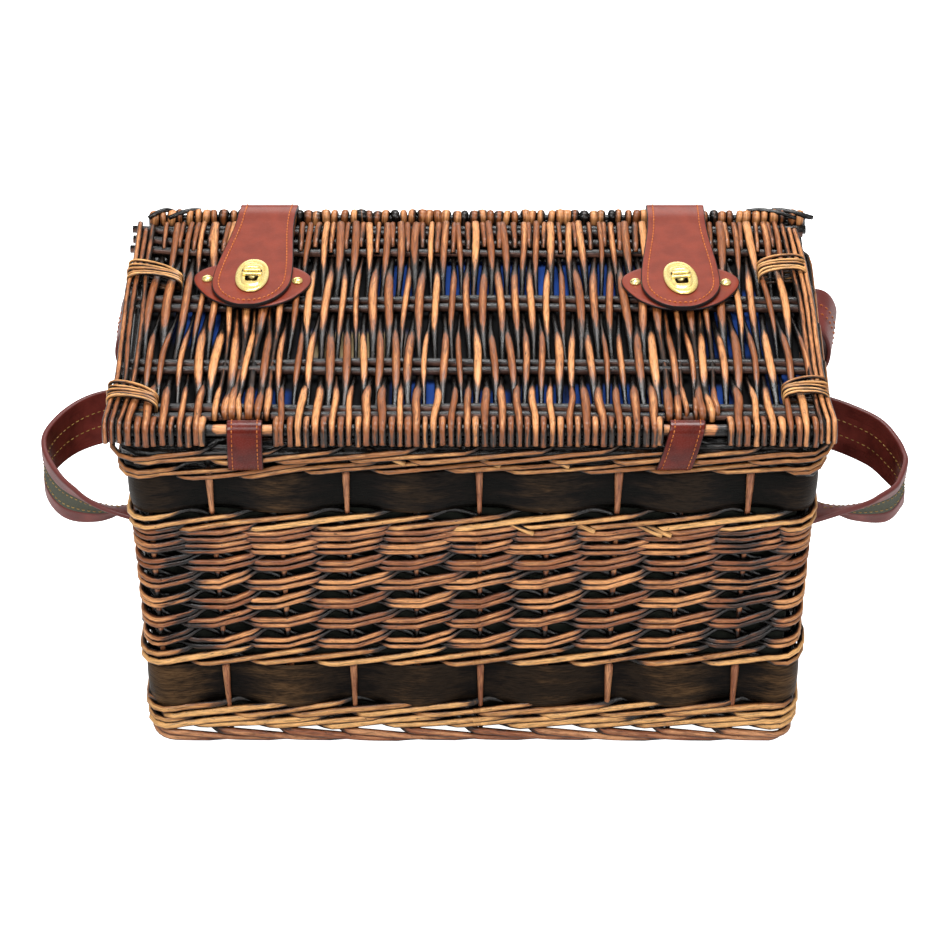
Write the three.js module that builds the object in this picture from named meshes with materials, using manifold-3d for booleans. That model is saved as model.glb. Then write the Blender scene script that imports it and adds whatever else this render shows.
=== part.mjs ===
// Woven willow picnic hamper with a hinged lid, leather straps, turn locks and side handles.
// Millimetres, +Z up, hinge side towards -Y. The origin is under the middle of the whole box.
import * as THREE from 'three';
import { mergeGeometries, mergeVertices } from 'three/addons/utils/BufferGeometryUtils.js';
import Module from 'manifold-3d';

const wasm = await Module();
wasm.setup();

// Driving dimensions
const gap = 0.3;
const wallHeight = 258;
const wallHalfWidth = { foot: 215.5, rim: 222 };
const wallHalfDepth = { foot: 109, rim: 115.5 };
const cornerRadius = 12;
const cornerSteps = 4;
const arcSegments = 6;
const roundSides = 12;
const ovalSegments = 24;
const stakeCount = 30;
const firstStakeX = 6;
const stakeHalfWidth = 3;
const chipThickness = 1.8;
const chipWeave = 2.6;
const stakeShoulder = 0.01;
const wallInside = -5;
const liningThickness = 1.5;
const wallLiningDrop = 4;
const lidLining = { halfWidth: 218, near: -92, far: 125 };

const level = {
  footTop: 17, bottomWaleTop: 36, lowerChipTop: 70, lowerWaleTop: 87,
  randingTop: 186, upperWaleTop: 204, upperChipTop: 234,
};
const baseThickness = 8;
const footRope = { shoulder: 1.5, outside: 4, inside: -5.5, low: 2.5, high: 6, top: 8.5 };
const footPost = { lean: 0.5, halfTurn: 0.09, inside: -4.5, outside: 2.5 };
const randingRows = 7;
const waleRows = 2;
const ribHeight = { bottom: 3.6, lowerMid: 4.6, randing: 3.2, upperMid: 4, top: 3.6 };
const rimFlare = 5.6;

const hinge = { y: -119, z: 269.5 };
const rodRadius = 4;
const rodSides = 8;
const lidRodThickness = 5.2;
const lidRodCount = 58;
const lidHalfWidth = 223.5;
const lidFarEdge = 128.5;
const ribDepth = 2.2;
const bentDrop = 5.4;
const crossRodHalfLength = 234;
const crossRodPlaces = [115, 102, 90, 31, 21, -45, -54, -97, -105.5];
const lidSlits = [
  { near: 42, far: 80 },
  { near: -37, far: 13 },
  { near: -90, far: -62 },
];
const slitWidth = 2.2;
const hingeGapDepth = 8.5;

const farRail = { y: 133.9, z: 275, radius: 5, left: -226.5, right: 233.5 };
const sideBundle = { inner: 224.2, outer: 235.6, top: 280, near: -117, far: 126, bevel: 1.8, notch: 1.4 };
const sideRod = { x: 226.5, radius: 3.35, near: -112, far: 122 };

const binding = { inner: 203.4, outer: 238.6, strand: 2.5, length: 16, bottom: 269.7 };
const bindingPlaces = [
  { name: 'binding_left_far', side: -1, y: 58 },
  { name: 'binding_left_near', side: -1, y: -80 },
  { name: 'binding_right_far', side: 1, y: 62 },
  { name: 'binding_right_near', side: 1, y: -76 },
];

const leather = { hinge: 2.2, patch: 2, strap: 3, handle: 3 };
const hingeLoops = [
  { name: 'hinge_loop_left', x: -146.5, skew: 0, gapLeft: -166.3, gapRight: -127.8 },
  { name: 'hinge_loop_right', x: 137.4, skew: 0.26, gapLeft: 120.7, gapRight: 157.4 },
];
const hingeLoopWidth = 23;
const hingeLoopSlot = 231.4;
const hingeLoopForm = {
  slack: 0.2, front: 10, lowFront: 7.2, turnIn: 2.9, straight: 8, bendAbove: 7, insideGap: 0.6,
};

const locks = [
  { side: 'left', x: -149, y: 40, railX: -141.6 },
  { side: 'right', x: 141, y: 37, railX: 141.6 },
];

// Right half of the lock patch from its far edge to its near edge, about the lock.
const patchOutline = [
  [0, 22], [16, 21.5], [28, 17.5], [37, 8.5], [40.3, 1],
  [38.5, -7], [33, -15.5], [25, -24], [14, -30], [0, -32],
];
const screw = { spread: 31.4, radius: 3.6, height: 2.4 };
const lockPlate = { halfWidth: 11, halfLength: 19.6, thickness: 1.6 };
const lockSlot = { halfWidth: 4.4, halfLength: 8.4, clearance: 0.6 };
const turnButton = { stem: 2.8, halfLength: 6.8, halfWidth: 3.2, height: 4 };
const strapTail = { clearance: 9, bottom: 214, swell: 3, swellTilt: 0.55, above: 4, below: 8 };
const strapBend = { from: 100, to: -30, step: 26 };

// The closure strap from its round end towards the far rail: distance from the lock and half width.
const strapOutline = [
  { along: -34, half: 3.5 }, { along: -32.5, half: 10 }, { along: -29, half: 17 },
  { along: -23, half: 22.5 }, { along: -14, half: 26 }, { along: -3, half: 26.8 },
  { along: 20, half: 24.2 }, { along: 50, half: 21.4 }, { along: 75, half: 20.2 },
];

// The handles from the far end to the near end: reach out of the wall, depth, height and lean of the strap.
const handleStationsLeft = [
  { out: 0.4, y: 53.5, z: 162, lean: -23 }, { out: 16, y: 50.5, z: 163, lean: -20 },
  { out: 35.5, y: 44.5, z: 164.5, lean: -15 }, { out: 53.5, y: 33.5, z: 163.5, lean: -8 },
  { out: 65.5, y: 17, z: 163, lean: -4 }, { out: 71.5, y: -2, z: 162.5, lean: -1 },
  { out: 68, y: -22, z: 160.5, lean: -2 }, { out: 56, y: -41, z: 159, lean: 6 },
  { out: 39, y: -54.5, z: 162, lean: 26 }, { out: 19.5, y: -64, z: 166.5, lean: 51 },
  { out: 0.4, y: -68.5, z: 170.5, lean: 74 },
];
const handleStationsRight = [
  { out: 0.4, y: 55, z: 163, lean: -13 }, { out: 15.5, y: 48.5, z: 161, lean: -12 },
  { out: 36, y: 39.5, z: 159, lean: -12 }, { out: 55, y: 26, z: 157, lean: -13 },
  { out: 66, y: 10, z: 154, lean: -12 }, { out: 71.5, y: -6, z: 153.5, lean: -3 },
  { out: 70, y: -23, z: 156, lean: 10 }, { out: 61, y: -41, z: 156, lean: 18 },
  { out: 43, y: -53.5, z: 160, lean: 35 }, { out: 22.5, y: -62.5, z: 166, lean: 57 },
  { out: 0.4, y: -68.5, z: 170, lean: 80 },
];
const handleWidth = 38;
const handleWall = 223.4;
const wallCutDepth = 20;

// A short strap loop behind each handle, from its upper end to its lower end: share of its reach and height.
// A slanted loop reaches out further at its far edge than at its near edge.
const sideLoopStations = [
  { share: 0, z: 228 }, { share: 0.45, z: 231 }, { share: 0.8, z: 227 }, { share: 1, z: 216 },
  { share: 0.95, z: 205 }, { share: 0.7, z: 197.5 }, { share: 0.35, z: 195.5 }, { share: 0, z: 199 },
];
const sideLoops = [
  { name: 'side_loop_left', side: -1, reach: 20, slant: 0 },
  { name: 'side_loop_right', side: 1, reach: 25, slant: 0.16 },
];
const sideLoop = { wall: 225.2, y: 76, width: 52 };

const strapOuterY = farRail.y + farRail.radius + gap + leather.strap;
const nearEdgeY = hinge.y - rodRadius - gap - lidRodThickness;
const depthShift = -(strapOuterY + nearEdgeY) / 2;

const lidBottom = hinge.z + rodRadius + gap;
const lidTop = lidBottom + lidRodThickness;
const patchBottom = lidTop + gap;
const strapBottom = patchBottom + leather.patch + gap;
const plateBottom = strapBottom + leather.strap + gap;

const willow = { color: 0xb98545, roughness: 0.55, metalness: 0 };
const darkRod = { color: 0x4a332a, roughness: 0.5, metalness: 0 };
const chipWood = { color: 0x33261c, roughness: 0.65, metalness: 0 };
const maroon = { color: 0x94473b, roughness: 0.5, metalness: 0 };
const brass = { color: 0xd8b95a, roughness: 0.25, metalness: 1 };
const blueCloth = { color: 0x1c4590, roughness: 0.9, metalness: 0 };
const oliveCloth = { color: 0x3a3a2e, roughness: 0.9, metalness: 0 };

const hamper = new THREE.Group();
hamper.position.y = depthShift;

function addPiece(name, geometry, look) {
  const piece = new THREE.Mesh(geometry, new THREE.MeshStandardMaterial(look));
  piece.name = name;
  hamper.add(piece);
}

// Turns a closed mesh so that its faces point outwards.
function faceOut(geometry) {
  const place = geometry.attributes.position;
  const index = geometry.index.array;
  const a = new THREE.Vector3();
  const b = new THREE.Vector3();
  const c = new THREE.Vector3();
  let volume = 0;
  for (let i = 0; i < index.length; i += 3) {
    a.fromBufferAttribute(place, index[i]);
    b.fromBufferAttribute(place, index[i + 1]);
    c.fromBufferAttribute(place, index[i + 2]);
    volume += a.dot(b.cross(c));
  }
  if (volume < 0) {
    for (let i = 0; i < index.length; i += 3) {
      const second = index[i + 1];
      index[i + 1] = index[i + 2];
      index[i + 2] = second;
    }
  }
  return geometry;
}

function meshFrom(points, faces) {
  const geometry = new THREE.BufferGeometry();
  geometry.setAttribute('position', new THREE.Float32BufferAttribute(points.flat(), 3));
  geometry.setIndex(faces);
  return faceOut(geometry);
}

function bare(geometry) {
  const copy = geometry.clone();
  copy.deleteAttribute('normal');
  copy.deleteAttribute('uv');
  return mergeVertices(copy, 1e-4);
}

function solidOf(geometry) {
  const merged = bare(geometry);
  const vertProperties = new Float32Array(merged.attributes.position.array);
  const triVerts = new Uint32Array(merged.index.array);
  return new wasm.Manifold(new wasm.Mesh({ numProp: 3, vertProperties, triVerts }));
}

function geometryOf(solid) {
  const mesh = solid.getMesh();
  const geometry = new THREE.BufferGeometry();
  geometry.setAttribute('position', new THREE.Float32BufferAttribute(mesh.vertProperties, 3));
  geometry.setIndex(Array.from(mesh.triVerts));
  return geometry;
}

function join(pieces) {
  return geometryOf(pieces.map(solidOf).reduce((whole, piece) => whole.add(piece)));
}

function cut(geometry, cutters) {
  return geometryOf(solidOf(geometry).subtract(solidOf(mergeGeometries(cutters.map(bare)))));
}

function boxBetween(low, high) {
  const box = new THREE.BoxGeometry(high[0] - low[0], high[1] - low[1], high[2] - low[2]);
  return box.translate((low[0] + high[0]) / 2, (low[1] + high[1]) / 2, (low[2] + high[2]) / 2);
}

// A rod along X, from left to right.
function rodAlongX(left, right, y, z, radius) {
  const rod = new THREE.CylinderGeometry(radius, radius, right - left, rodSides);
  return rod.rotateZ(Math.PI / 2).translate((left + right) / 2, y, z);
}

function rodAlongY(x, near, far, z, radius) {
  const rod = new THREE.CylinderGeometry(radius, radius, far - near, rodSides);
  return rod.translate(x, (near + far) / 2, z);
}

// An outline drawn in depth and height, carried along X about its middle.
function extrudeAlongX(shape, length) {
  const settings = { depth: length, bevelEnabled: false, curveSegments: arcSegments };
  const geometry = new THREE.ExtrudeGeometry(shape, settings);
  geometry.translate(0, 0, -length / 2);
  const turn = new THREE.Matrix4();
  turn.makeBasis(new THREE.Vector3(0, 1, 0), new THREE.Vector3(0, 0, 1), new THREE.Vector3(1, 0, 0));
  return geometry.applyMatrix4(turn);
}

// An outline drawn in width and height, carried along Y from near to far.
function extrudeAlongY(shape, near, far) {
  const settings = { depth: far - near, bevelEnabled: false, curveSegments: arcSegments };
  const geometry = new THREE.ExtrudeGeometry(shape, settings);
  return geometry.rotateX(Math.PI / 2).translate(0, far, 0);
}

// Wall outline: a rounded rectangle that grows from foot to rim, walked from the near middle to the right.
function halfSizes(z, offset) {
  const share = z / wallHeight;
  return {
    a: THREE.MathUtils.lerp(wallHalfWidth.foot, wallHalfWidth.rim, share) + offset,
    b: THREE.MathUtils.lerp(wallHalfDepth.foot, wallHalfDepth.rim, share) + offset,
    r: cornerRadius + offset,
  };
}

function stretchLengths() {
  const { a, b, r } = halfSizes(wallHeight / 2, 0);
  const corner = Math.PI * r / 2;
  return [a - r, corner, 2 * (b - r), corner, 2 * (a - r), corner, 2 * (b - r), corner, a - r];
}

const stretches = stretchLengths();
const aroundLength = stretches.reduce((sum, length) => sum + length);
const stakePitch = aroundLength / stakeCount;

function outlinePoint(turn, z, offset) {
  const { a, b, r } = halfSizes(z, offset);
  let walked = THREE.MathUtils.euclideanModulo(firstStakeX + turn * stakePitch, aroundLength);
  let stretch = 0;
  while (stretch < stretches.length - 1 && walked > stretches[stretch]) {
    walked -= stretches[stretch];
    stretch += 1;
  }
  const share = walked / stretches[stretch];
  const angle = share * Math.PI / 2;
  const sideY = (2 * share - 1) * (b - r);
  const farX = (1 - 2 * share) * (a - r);
  const places = [
    () => [share * (a - r), -b],
    () => [a - r + r * Math.sin(angle), r - b - r * Math.cos(angle)],
    () => [a, sideY],
    () => [a - r + r * Math.cos(angle), b - r + r * Math.sin(angle)],
    () => [farX, b],
    () => [r - a - r * Math.sin(angle), b - r + r * Math.cos(angle)],
    () => [-a, -sideY],
    () => [r - a - r * Math.cos(angle), r - b - r * Math.sin(angle)],
    () => [(share - 1) * (a - r), -b],
  ];
  const [x, y] = places[stretch]();
  return [x, y, z];
}

function cornerTurns() {
  const turns = [];
  let walked = -firstStakeX;
  stretches.forEach((length, stretch) => {
    if (stretch % 2 === 1) {
      for (let step = 0; step <= cornerSteps; step += 1) {
        turns.push((walked + length * step / cornerSteps) / stakePitch);
      }
    }
    walked += length;
  });
  return turns;
}

// A ring carried round the wall: each section row is an offset from the wall line and a height.
function ringSolid(turns, sectionAt) {
  const points = [];
  const faces = [];
  const rows = sectionAt(0).length;
  turns.forEach((turn) => {
    sectionAt(turn).forEach(({ offset, z }) => points.push(outlinePoint(turn, z, offset)));
  });
  turns.forEach((turn, i) => {
    const next = (i + 1) % turns.length;
    for (let row = 0; row < rows; row += 1) {
      const up = (row + 1) % rows;
      const corners = [i * rows + row, next * rows + row, next * rows + up, i * rows + up];
      faces.push(corners[0], corners[1], corners[2], corners[0], corners[2], corners[3]);
    }
  });
  return meshFrom(points, faces);
}

// Rows of rods seen as rounded ribs on the outside of a ring.
function waleRing(bottom, top, rows, ribOffset, flare = 0) {
  const low = bottom + gap / 2;
  const high = top - gap / 2;
  const pitch = (high - low) / rows;
  const section = [{ offset: ribOffset - ribDepth, z: low }];
  for (let row = 0; row < rows; row += 1) {
    const rise = flare * (row + 0.5) / rows;
    section.push({ offset: ribOffset + rise, z: low + (row + 0.3) * pitch });
    section.push({ offset: ribOffset + rise, z: low + (row + 0.7) * pitch });
    section.push({ offset: ribOffset + rise - ribDepth + flare / (2 * rows), z: low + (row + 1) * pitch });
  }
  section.push({ offset: wallInside, z: high });
  section.push({ offset: wallInside, z: low });
  return ringSolid(cornerTurns(), () => section);
}

// A chip of wood that passes behind every even stake and before every odd one, with the even stakes as ribs.
function chipRing(bottom, top) {
  const low = bottom + gap / 2;
  const high = top - gap / 2;
  const stakeHalf = stakeHalfWidth / stakePitch;
  const turns = [];
  for (let stake = 0; stake < stakeCount; stake += 2) {
    const shoulder = stakeHalf + stakeShoulder;
    const places = [-shoulder, -stakeHalf, stakeHalf, shoulder, 0.5, 1, 1.5];
    places.forEach((place) => turns.push(stake + place));
  }
  const farEnough = (turn) => turns.every((other) => Math.abs(other - turn) > 0.06);
  const corners = cornerTurns().filter(farEnough);
  const sorted = turns.concat(corners).sort((one, other) => one - other);
  return ringSolid(sorted, (turn) => {
    const fromStake = Math.abs(turn - 2 * Math.round(turn / 2));
    const middle = -chipWeave * Math.cos(Math.PI * turn);
    const onStake = fromStake < stakeHalf + stakeShoulder / 2;
    const outside = onStake ? stakeHalfWidth : middle + chipThickness / 2;
    const inside = middle - chipThickness / 2;
    return [
      { offset: outside, z: low }, { offset: outside, z: high },
      { offset: inside, z: high }, { offset: inside, z: low },
    ];
  });
}

// Foot border: a rope round the base, and one slanting rod up to the wall for each stake.
function footBorder() {
  const { shoulder, outside, inside, low, high, top } = footRope;
  const rope = ringSolid(cornerTurns(), () => [
    { offset: shoulder, z: 0 }, { offset: outside, z: low }, { offset: outside, z: high },
    { offset: shoulder, z: top }, { offset: inside, z: top }, { offset: inside, z: 0 },
  ]);
  const posts = [];
  const half = footPost.halfTurn;
  for (let stake = 0; stake < stakeCount; stake += 1) {
    const points = [];
    [[0, top / 2], [-footPost.lean, level.footTop - gap / 2]].forEach(([shift, z]) => {
      const section = [
        [-half, footPost.inside], [half, footPost.inside],
        [half, footPost.outside], [-half, footPost.outside],
      ];
      section.forEach(([along, offset]) => points.push(outlinePoint(stake + shift + along, z, offset)));
    });
    const faces = [0, 1, 2, 0, 2, 3, 4, 6, 5, 4, 7, 6];
    for (let side = 0; side < 4; side += 1) {
      const next = (side + 1) % 4;
      faces.push(side, side + 4, next + 4, side, next + 4, next);
    }
    posts.push(meshFrom(points, faces));
  }
  return join([rope, ...posts]);
}

function basePanel() {
  const low = level.footTop + gap;
  const outline = cornerTurns().map((turn) => outlinePoint(turn, low, wallInside - gap));
  const shape = new THREE.Shape(outline.map(([x, y]) => new THREE.Vector2(x, y)));
  const panel = new THREE.ExtrudeGeometry(shape, { depth: baseThickness, bevelEnabled: false });
  return panel.translate(0, 0, low);
}

function wallLining() {
  const outside = wallInside - gap;
  const inside = outside - liningThickness;
  const low = level.footTop + baseThickness + 2 * gap;
  const high = level.upperChipTop - wallLiningDrop;
  return ringSolid(cornerTurns(), () => [
    { offset: outside, z: low }, { offset: outside, z: high },
    { offset: inside, z: high }, { offset: inside, z: low },
  ]);
}

// Offsets a closed outline outwards by a thickness, with mitred corners.
function thickened(outline, thickness) {
  const area = THREE.ShapeUtils.area(outline);
  const sign = Math.sign(area);
  return outline.map((corner, i) => {
    const before = outline[(i + outline.length - 1) % outline.length];
    const after = outline[(i + 1) % outline.length];
    const first = corner.clone().sub(before).normalize();
    const second = after.clone().sub(corner).normalize();
    const normal = new THREE.Vector2(first.y + second.y, -first.x - second.x).multiplyScalar(sign);
    const reach = thickness / (normal.length() / 2);
    return corner.clone().add(normal.normalize().multiplyScalar(Math.min(reach, 1.6 * thickness)));
  });
}

// A hinge loop goes over the front rod of the lid and round the top wale of the wall.
function hingeLoop({ x, skew }) {
  const inner = rodRadius + gap + hingeLoopForm.slack;
  const outline = [];
  for (let degrees = 0; degrees <= 180; degrees += 30) {
    const angle = THREE.MathUtils.degToRad(degrees);
    outline.push(new THREE.Vector2(hinge.y + inner * Math.cos(angle), hinge.z + inner * Math.sin(angle)));
  }
  const front = -halfSizes(wallHeight, 0).b;
  const back = front - wallInside + hingeLoopForm.insideGap;
  const below = hingeLoopSlot + leather.hinge;
  const stations = [
    [front - hingeLoopForm.front, wallHeight + gap],
    [front - hingeLoopForm.front, wallHeight - hingeLoopForm.straight],
    [front - hingeLoopForm.lowFront, level.upperChipTop + hingeLoopForm.bendAbove],
    [front - hingeLoopForm.turnIn, below],
    [back, below],
    [back, wallHeight + gap],
  ];
  stations.forEach(([y, z]) => outline.push(new THREE.Vector2(y, z)));
  const shape = new THREE.Shape(thickened(outline, leather.hinge));
  shape.holes.push(new THREE.Path(outline));
  const loop = extrudeAlongX(shape, hingeLoopWidth);
  const lean = new THREE.Matrix4().makeShear(0, 0, 0, 0, skew, 0);
  return loop.translate(0, 0, -hinge.z).applyMatrix4(lean).translate(x, 0, hinge.z);
}

function upperChipBand() {
  const slots = hingeLoops.map(({ x, skew }) => {
    const middle = x + skew * (hingeLoopSlot - hinge.z);
    const half = hingeLoopWidth / 2 + 1;
    const near = -wallHalfDepth.rim - wallCutDepth;
    const far = -wallHalfDepth.foot + wallCutDepth;
    const high = level.upperChipTop + 1;
    return boxBetween([middle - half, near, hingeLoopSlot - gap], [middle + half, far, high]);
  });
  return cut(chipRing(level.upperWaleTop, level.upperChipTop), slots);
}

// The lid's rods run from far to near, bend over the front rod and end below it.
function lidPanel() {
  const pitch = 2 * lidHalfWidth / lidRodCount;
  const profile = new THREE.Shape();
  profile.moveTo(-lidHalfWidth, lidBottom);
  profile.lineTo(lidHalfWidth, lidBottom);
  for (let rod = lidRodCount; rod > 0; rod -= 1) {
    const right = -lidHalfWidth + rod * pitch;
    profile.lineTo(right, lidTop - ribDepth);
    profile.lineTo(right - pitch / 2, lidTop);
  }
  profile.lineTo(-lidHalfWidth, lidTop - ribDepth);
  const sheet = extrudeAlongY(profile, hinge.y, lidFarEdge);

  const inner = rodRadius + gap;
  const outer = inner + lidRodThickness;
  const bend = new THREE.Shape();
  bend.moveTo(hinge.y + 1, hinge.z + outer - ribDepth / 2);
  bend.lineTo(hinge.y, hinge.z + outer - ribDepth / 2);
  bend.absarc(hinge.y, hinge.z, outer, Math.PI / 2, Math.PI, false);
  bend.lineTo(hinge.y - outer, hinge.z - bentDrop);
  bend.lineTo(hinge.y - inner, hinge.z - bentDrop);
  bend.lineTo(hinge.y - inner, hinge.z);
  bend.absarc(hinge.y, hinge.z, inner, Math.PI, Math.PI / 2, true);
  bend.lineTo(hinge.y + 1, hinge.z + inner);
  const ends = extrudeAlongX(bend, 2 * lidHalfWidth);

  const cutters = [];
  for (let rod = 2; rod < lidRodCount; rod += 2) {
    const x = -lidHalfWidth + rod * pitch;
    const clearOfBinding = Math.abs(Math.abs(x) - binding.inner) > 2 * slitWidth;
    const row = clearOfBinding ? lidSlits : [];
    row.forEach(({ near, far }) => {
      const half = slitWidth / 2;
      cutters.push(boxBetween([x - half, near, lidBottom - 1], [x + half, far, lidTop + 1]));
    });
  }
  hingeLoops.forEach(({ gapLeft, gapRight }) => {
    const low = [gapLeft, hinge.y - outer - 1, hinge.z - bentDrop - 1];
    cutters.push(boxBetween(low, [gapRight, hinge.y + hingeGapDepth, lidTop + 1]));
  });
  bindingPlaces.forEach(({ side, y }) => {
    const middle = side * (binding.inner + binding.strand / 2);
    const half = binding.strand / 2 + gap;
    const reach = binding.length / 2 + gap;
    const low = [middle - half, y - reach, lidBottom - 1];
    cutters.push(boxBetween(low, [middle + half, y + reach, lidTop + 1]));
  });
  return cut(join([sheet, ends]), cutters);
}

function sideBundleShape(side) {
  const { inner, outer, top, bevel, notch } = sideBundle;
  const low = lidBottom - gap / 2;
  const middle = (inner + outer) / 2;
  const rows = [
    [inner, low + bevel], [inner + bevel, low], [middle, low + notch],
    [outer - bevel, low], [outer, low + bevel], [outer, top - bevel],
    [outer - bevel, top], [middle, top - notch], [inner + bevel, top], [inner, top - bevel],
  ];
  return new THREE.Shape(rows.map(([x, z]) => new THREE.Vector2(side * x, z)));
}

// A binding of thin strands round the side bundle and the outer rods of the lid.
function bindingRing({ side, y }) {
  const top = sideBundle.top + gap + binding.strand;
  const low = side < 0 ? -binding.outer : binding.inner;
  const high = side < 0 ? -binding.inner : binding.outer;
  const frame = (inset) => [
    [low + inset, binding.bottom + inset], [high - inset, binding.bottom + inset],
    [high - inset, top - inset], [low + inset, top - inset],
  ].map(([x, z]) => new THREE.Vector2(x, z));
  const shape = new THREE.Shape(frame(0));
  shape.holes.push(new THREE.Path(frame(binding.strand)));
  return extrudeAlongY(shape, y - binding.length / 2, y + binding.length / 2);
}

function leafPatch({ x, y }) {
  const mirrored = patchOutline.slice(1, -1).reverse().map(([along, depth]) => [-along, depth]);
  const corners = patchOutline.concat(mirrored).map(([along, depth]) => new THREE.Vector2(along, depth));
  const leaf = new THREE.Shape(corners);
  const geometry = new THREE.ExtrudeGeometry(leaf, { depth: leather.patch, bevelEnabled: false });
  return geometry.translate(x, y, patchBottom);
}

function domedScrew(x, y) {
  const { radius, height } = screw;
  const shares = [[0, 0], [1, 0], [0.95, 0.4], [0.6, 0.83], [0, 1]];
  const profile = shares.map(([out, up]) => new THREE.Vector2(out * radius, up * height));
  const dome = new THREE.LatheGeometry(profile, roundSides);
  return dome.rotateX(Math.PI / 2).translate(x, y, patchBottom + leather.patch + gap);
}

// A flat strap from stations of middle, half-width vector and half-thickness vector.
function strapSolid(stations, thickness) {
  const points = [];
  const faces = [];
  stations.forEach(({ middle, across, normal }) => {
    const up = normal.clone().multiplyScalar(thickness / 2);
    [[-1, -1], [1, -1], [1, 1], [-1, 1]].forEach(([side, face]) => {
      const corner = middle.clone().addScaledVector(across, side).addScaledVector(up, face);
      points.push(corner.toArray());
    });
  });
  const last = 4 * (stations.length - 1);
  faces.push(0, 1, 2, 0, 2, 3, last, last + 2, last + 1, last, last + 3, last + 2);
  for (let i = 0; i < stations.length - 1; i += 1) {
    for (let side = 0; side < 4; side += 1) {
      const next = (side + 1) % 4;
      const here = 4 * i;
      faces.push(here + side, here + 4 + side, here + 4 + next, here + side, here + 4 + next, here + next);
    }
  }
  return meshFrom(points, faces);
}

// The strap lies on the lid, goes over the far rail and hangs down the far side.
function closureStrap(lock) {
  const half = leather.strap / 2;
  const flatZ = strapBottom + half;
  const bendRadius = farRail.radius + gap + half;
  const rows = strapOutline.map(({ along, half: width }) => {
    return { y: lock.y + along, z: flatZ, width, tilt: 0 };
  });
  const narrow = strapOutline[strapOutline.length - 1].half;
  for (let degrees = strapBend.from; degrees >= strapBend.to; degrees -= strapBend.step) {
    const angle = THREE.MathUtils.degToRad(degrees);
    const y = farRail.y + bendRadius * Math.cos(angle);
    const z = farRail.z + bendRadius * Math.sin(angle);
    rows.push({ y, z, width: narrow, tilt: Math.PI / 2 - angle });
  }
  const tailY = hinge.y + Math.hypot(lidFarEdge - hinge.y, strapTail.clearance);
  const upright = Math.PI / 2;
  const swellY = tailY + half + strapTail.swell;
  const swellTilt = upright + strapTail.swellTilt;
  rows.push({ y: swellY, z: wallHeight + strapTail.above, width: narrow, tilt: swellTilt });
  rows.push({ y: tailY + half, z: wallHeight - strapTail.below, width: narrow, tilt: upright });
  rows.push({ y: tailY + half, z: strapTail.bottom, width: narrow, tilt: upright });
  const slant = (lock.railX - lock.x) / (farRail.y - lock.y);
  const stations = rows.map(({ y, z, width, tilt }) => {
    const x = lock.x + slant * THREE.MathUtils.clamp(y - lock.y, strapOutline[0].along, farRail.y - lock.y);
    return {
      middle: new THREE.Vector3(x, y, z),
      across: new THREE.Vector3(width, 0, 0),
      normal: new THREE.Vector3(0, Math.sin(tilt), Math.cos(tilt)),
    };
  });
  const slotX = lockSlot.halfWidth + lockSlot.clearance;
  const slotY = lockSlot.halfLength + lockSlot.clearance;
  const low = [lock.x - slotX, lock.y - slotY, strapBottom - 1];
  const high = [lock.x + slotX, lock.y + slotY, plateBottom + 1];
  return cut(strapSolid(stations, leather.strap), [boxBetween(low, high)]);
}

function lockPlateRing({ x, y }) {
  const shape = new THREE.Shape();
  shape.absellipse(0, 0, lockPlate.halfWidth, lockPlate.halfLength, 0, 2 * Math.PI, false, 0);
  const slot = new THREE.Path();
  const { halfWidth, halfLength } = lockSlot;
  slot.moveTo(-halfWidth, -halfLength);
  slot.lineTo(-halfWidth, halfLength);
  slot.lineTo(halfWidth, halfLength);
  slot.lineTo(halfWidth, -halfLength);
  shape.holes.push(slot);
  const settings = { depth: lockPlate.thickness, bevelEnabled: false, curveSegments: ovalSegments };
  return new THREE.ExtrudeGeometry(shape, settings).translate(x, y, plateBottom);
}

// The turn button stands on the patch through strap and plate, with its bar across the slot.
function turnButtonSolid({ x, y }) {
  const foot = patchBottom + leather.patch + gap;
  const barBottom = plateBottom + lockPlate.thickness + gap;
  const stemHeight = barBottom - foot + 1;
  const stem = new THREE.CylinderGeometry(turnButton.stem, turnButton.stem, stemHeight, roundSides);
  stem.rotateX(Math.PI / 2).translate(x, y, foot + stemHeight / 2);
  const { halfLength, halfWidth, height } = turnButton;
  const low = [x - halfLength, y - halfWidth, barBottom];
  const bar = boxBetween(low, [x + halfLength, y + halfWidth, barBottom + height]);
  return join([stem, bar]);
}

function handleStrap(side) {
  const half = handleWidth / 2;
  const places = side < 0 ? handleStationsLeft : handleStationsRight;
  const middles = places.map(({ out, y, z }) => new THREE.Vector3(side * (handleWall + out), y, z));
  const stations = places.map(({ lean }, i) => {
    const before = middles[Math.max(i - 1, 0)];
    const after = middles[Math.min(i + 1, middles.length - 1)];
    const along = after.clone().sub(before).normalize();
    const angle = THREE.MathUtils.degToRad(lean);
    const across = new THREE.Vector3(0, -Math.sin(angle), Math.cos(angle));
    across.addScaledVector(along, -along.dot(across)).normalize();
    const normal = along.clone().cross(across);
    return { middle: middles[i], across: across.multiplyScalar(half), normal };
  });
  const strap = strapSolid(stations, leather.handle);
  return cut(strap, [wallSide(side, handleWall)]);
}

// The room inside a side of the wall, taken off a strap's ends.
function wallSide(side, face) {
  const low = Math.min(side * face, side * (face - wallCutDepth));
  const depth = wallHalfDepth.rim;
  return boxBetween([low, -depth, 0], [low + wallCutDepth, depth, wallHeight]);
}

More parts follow.
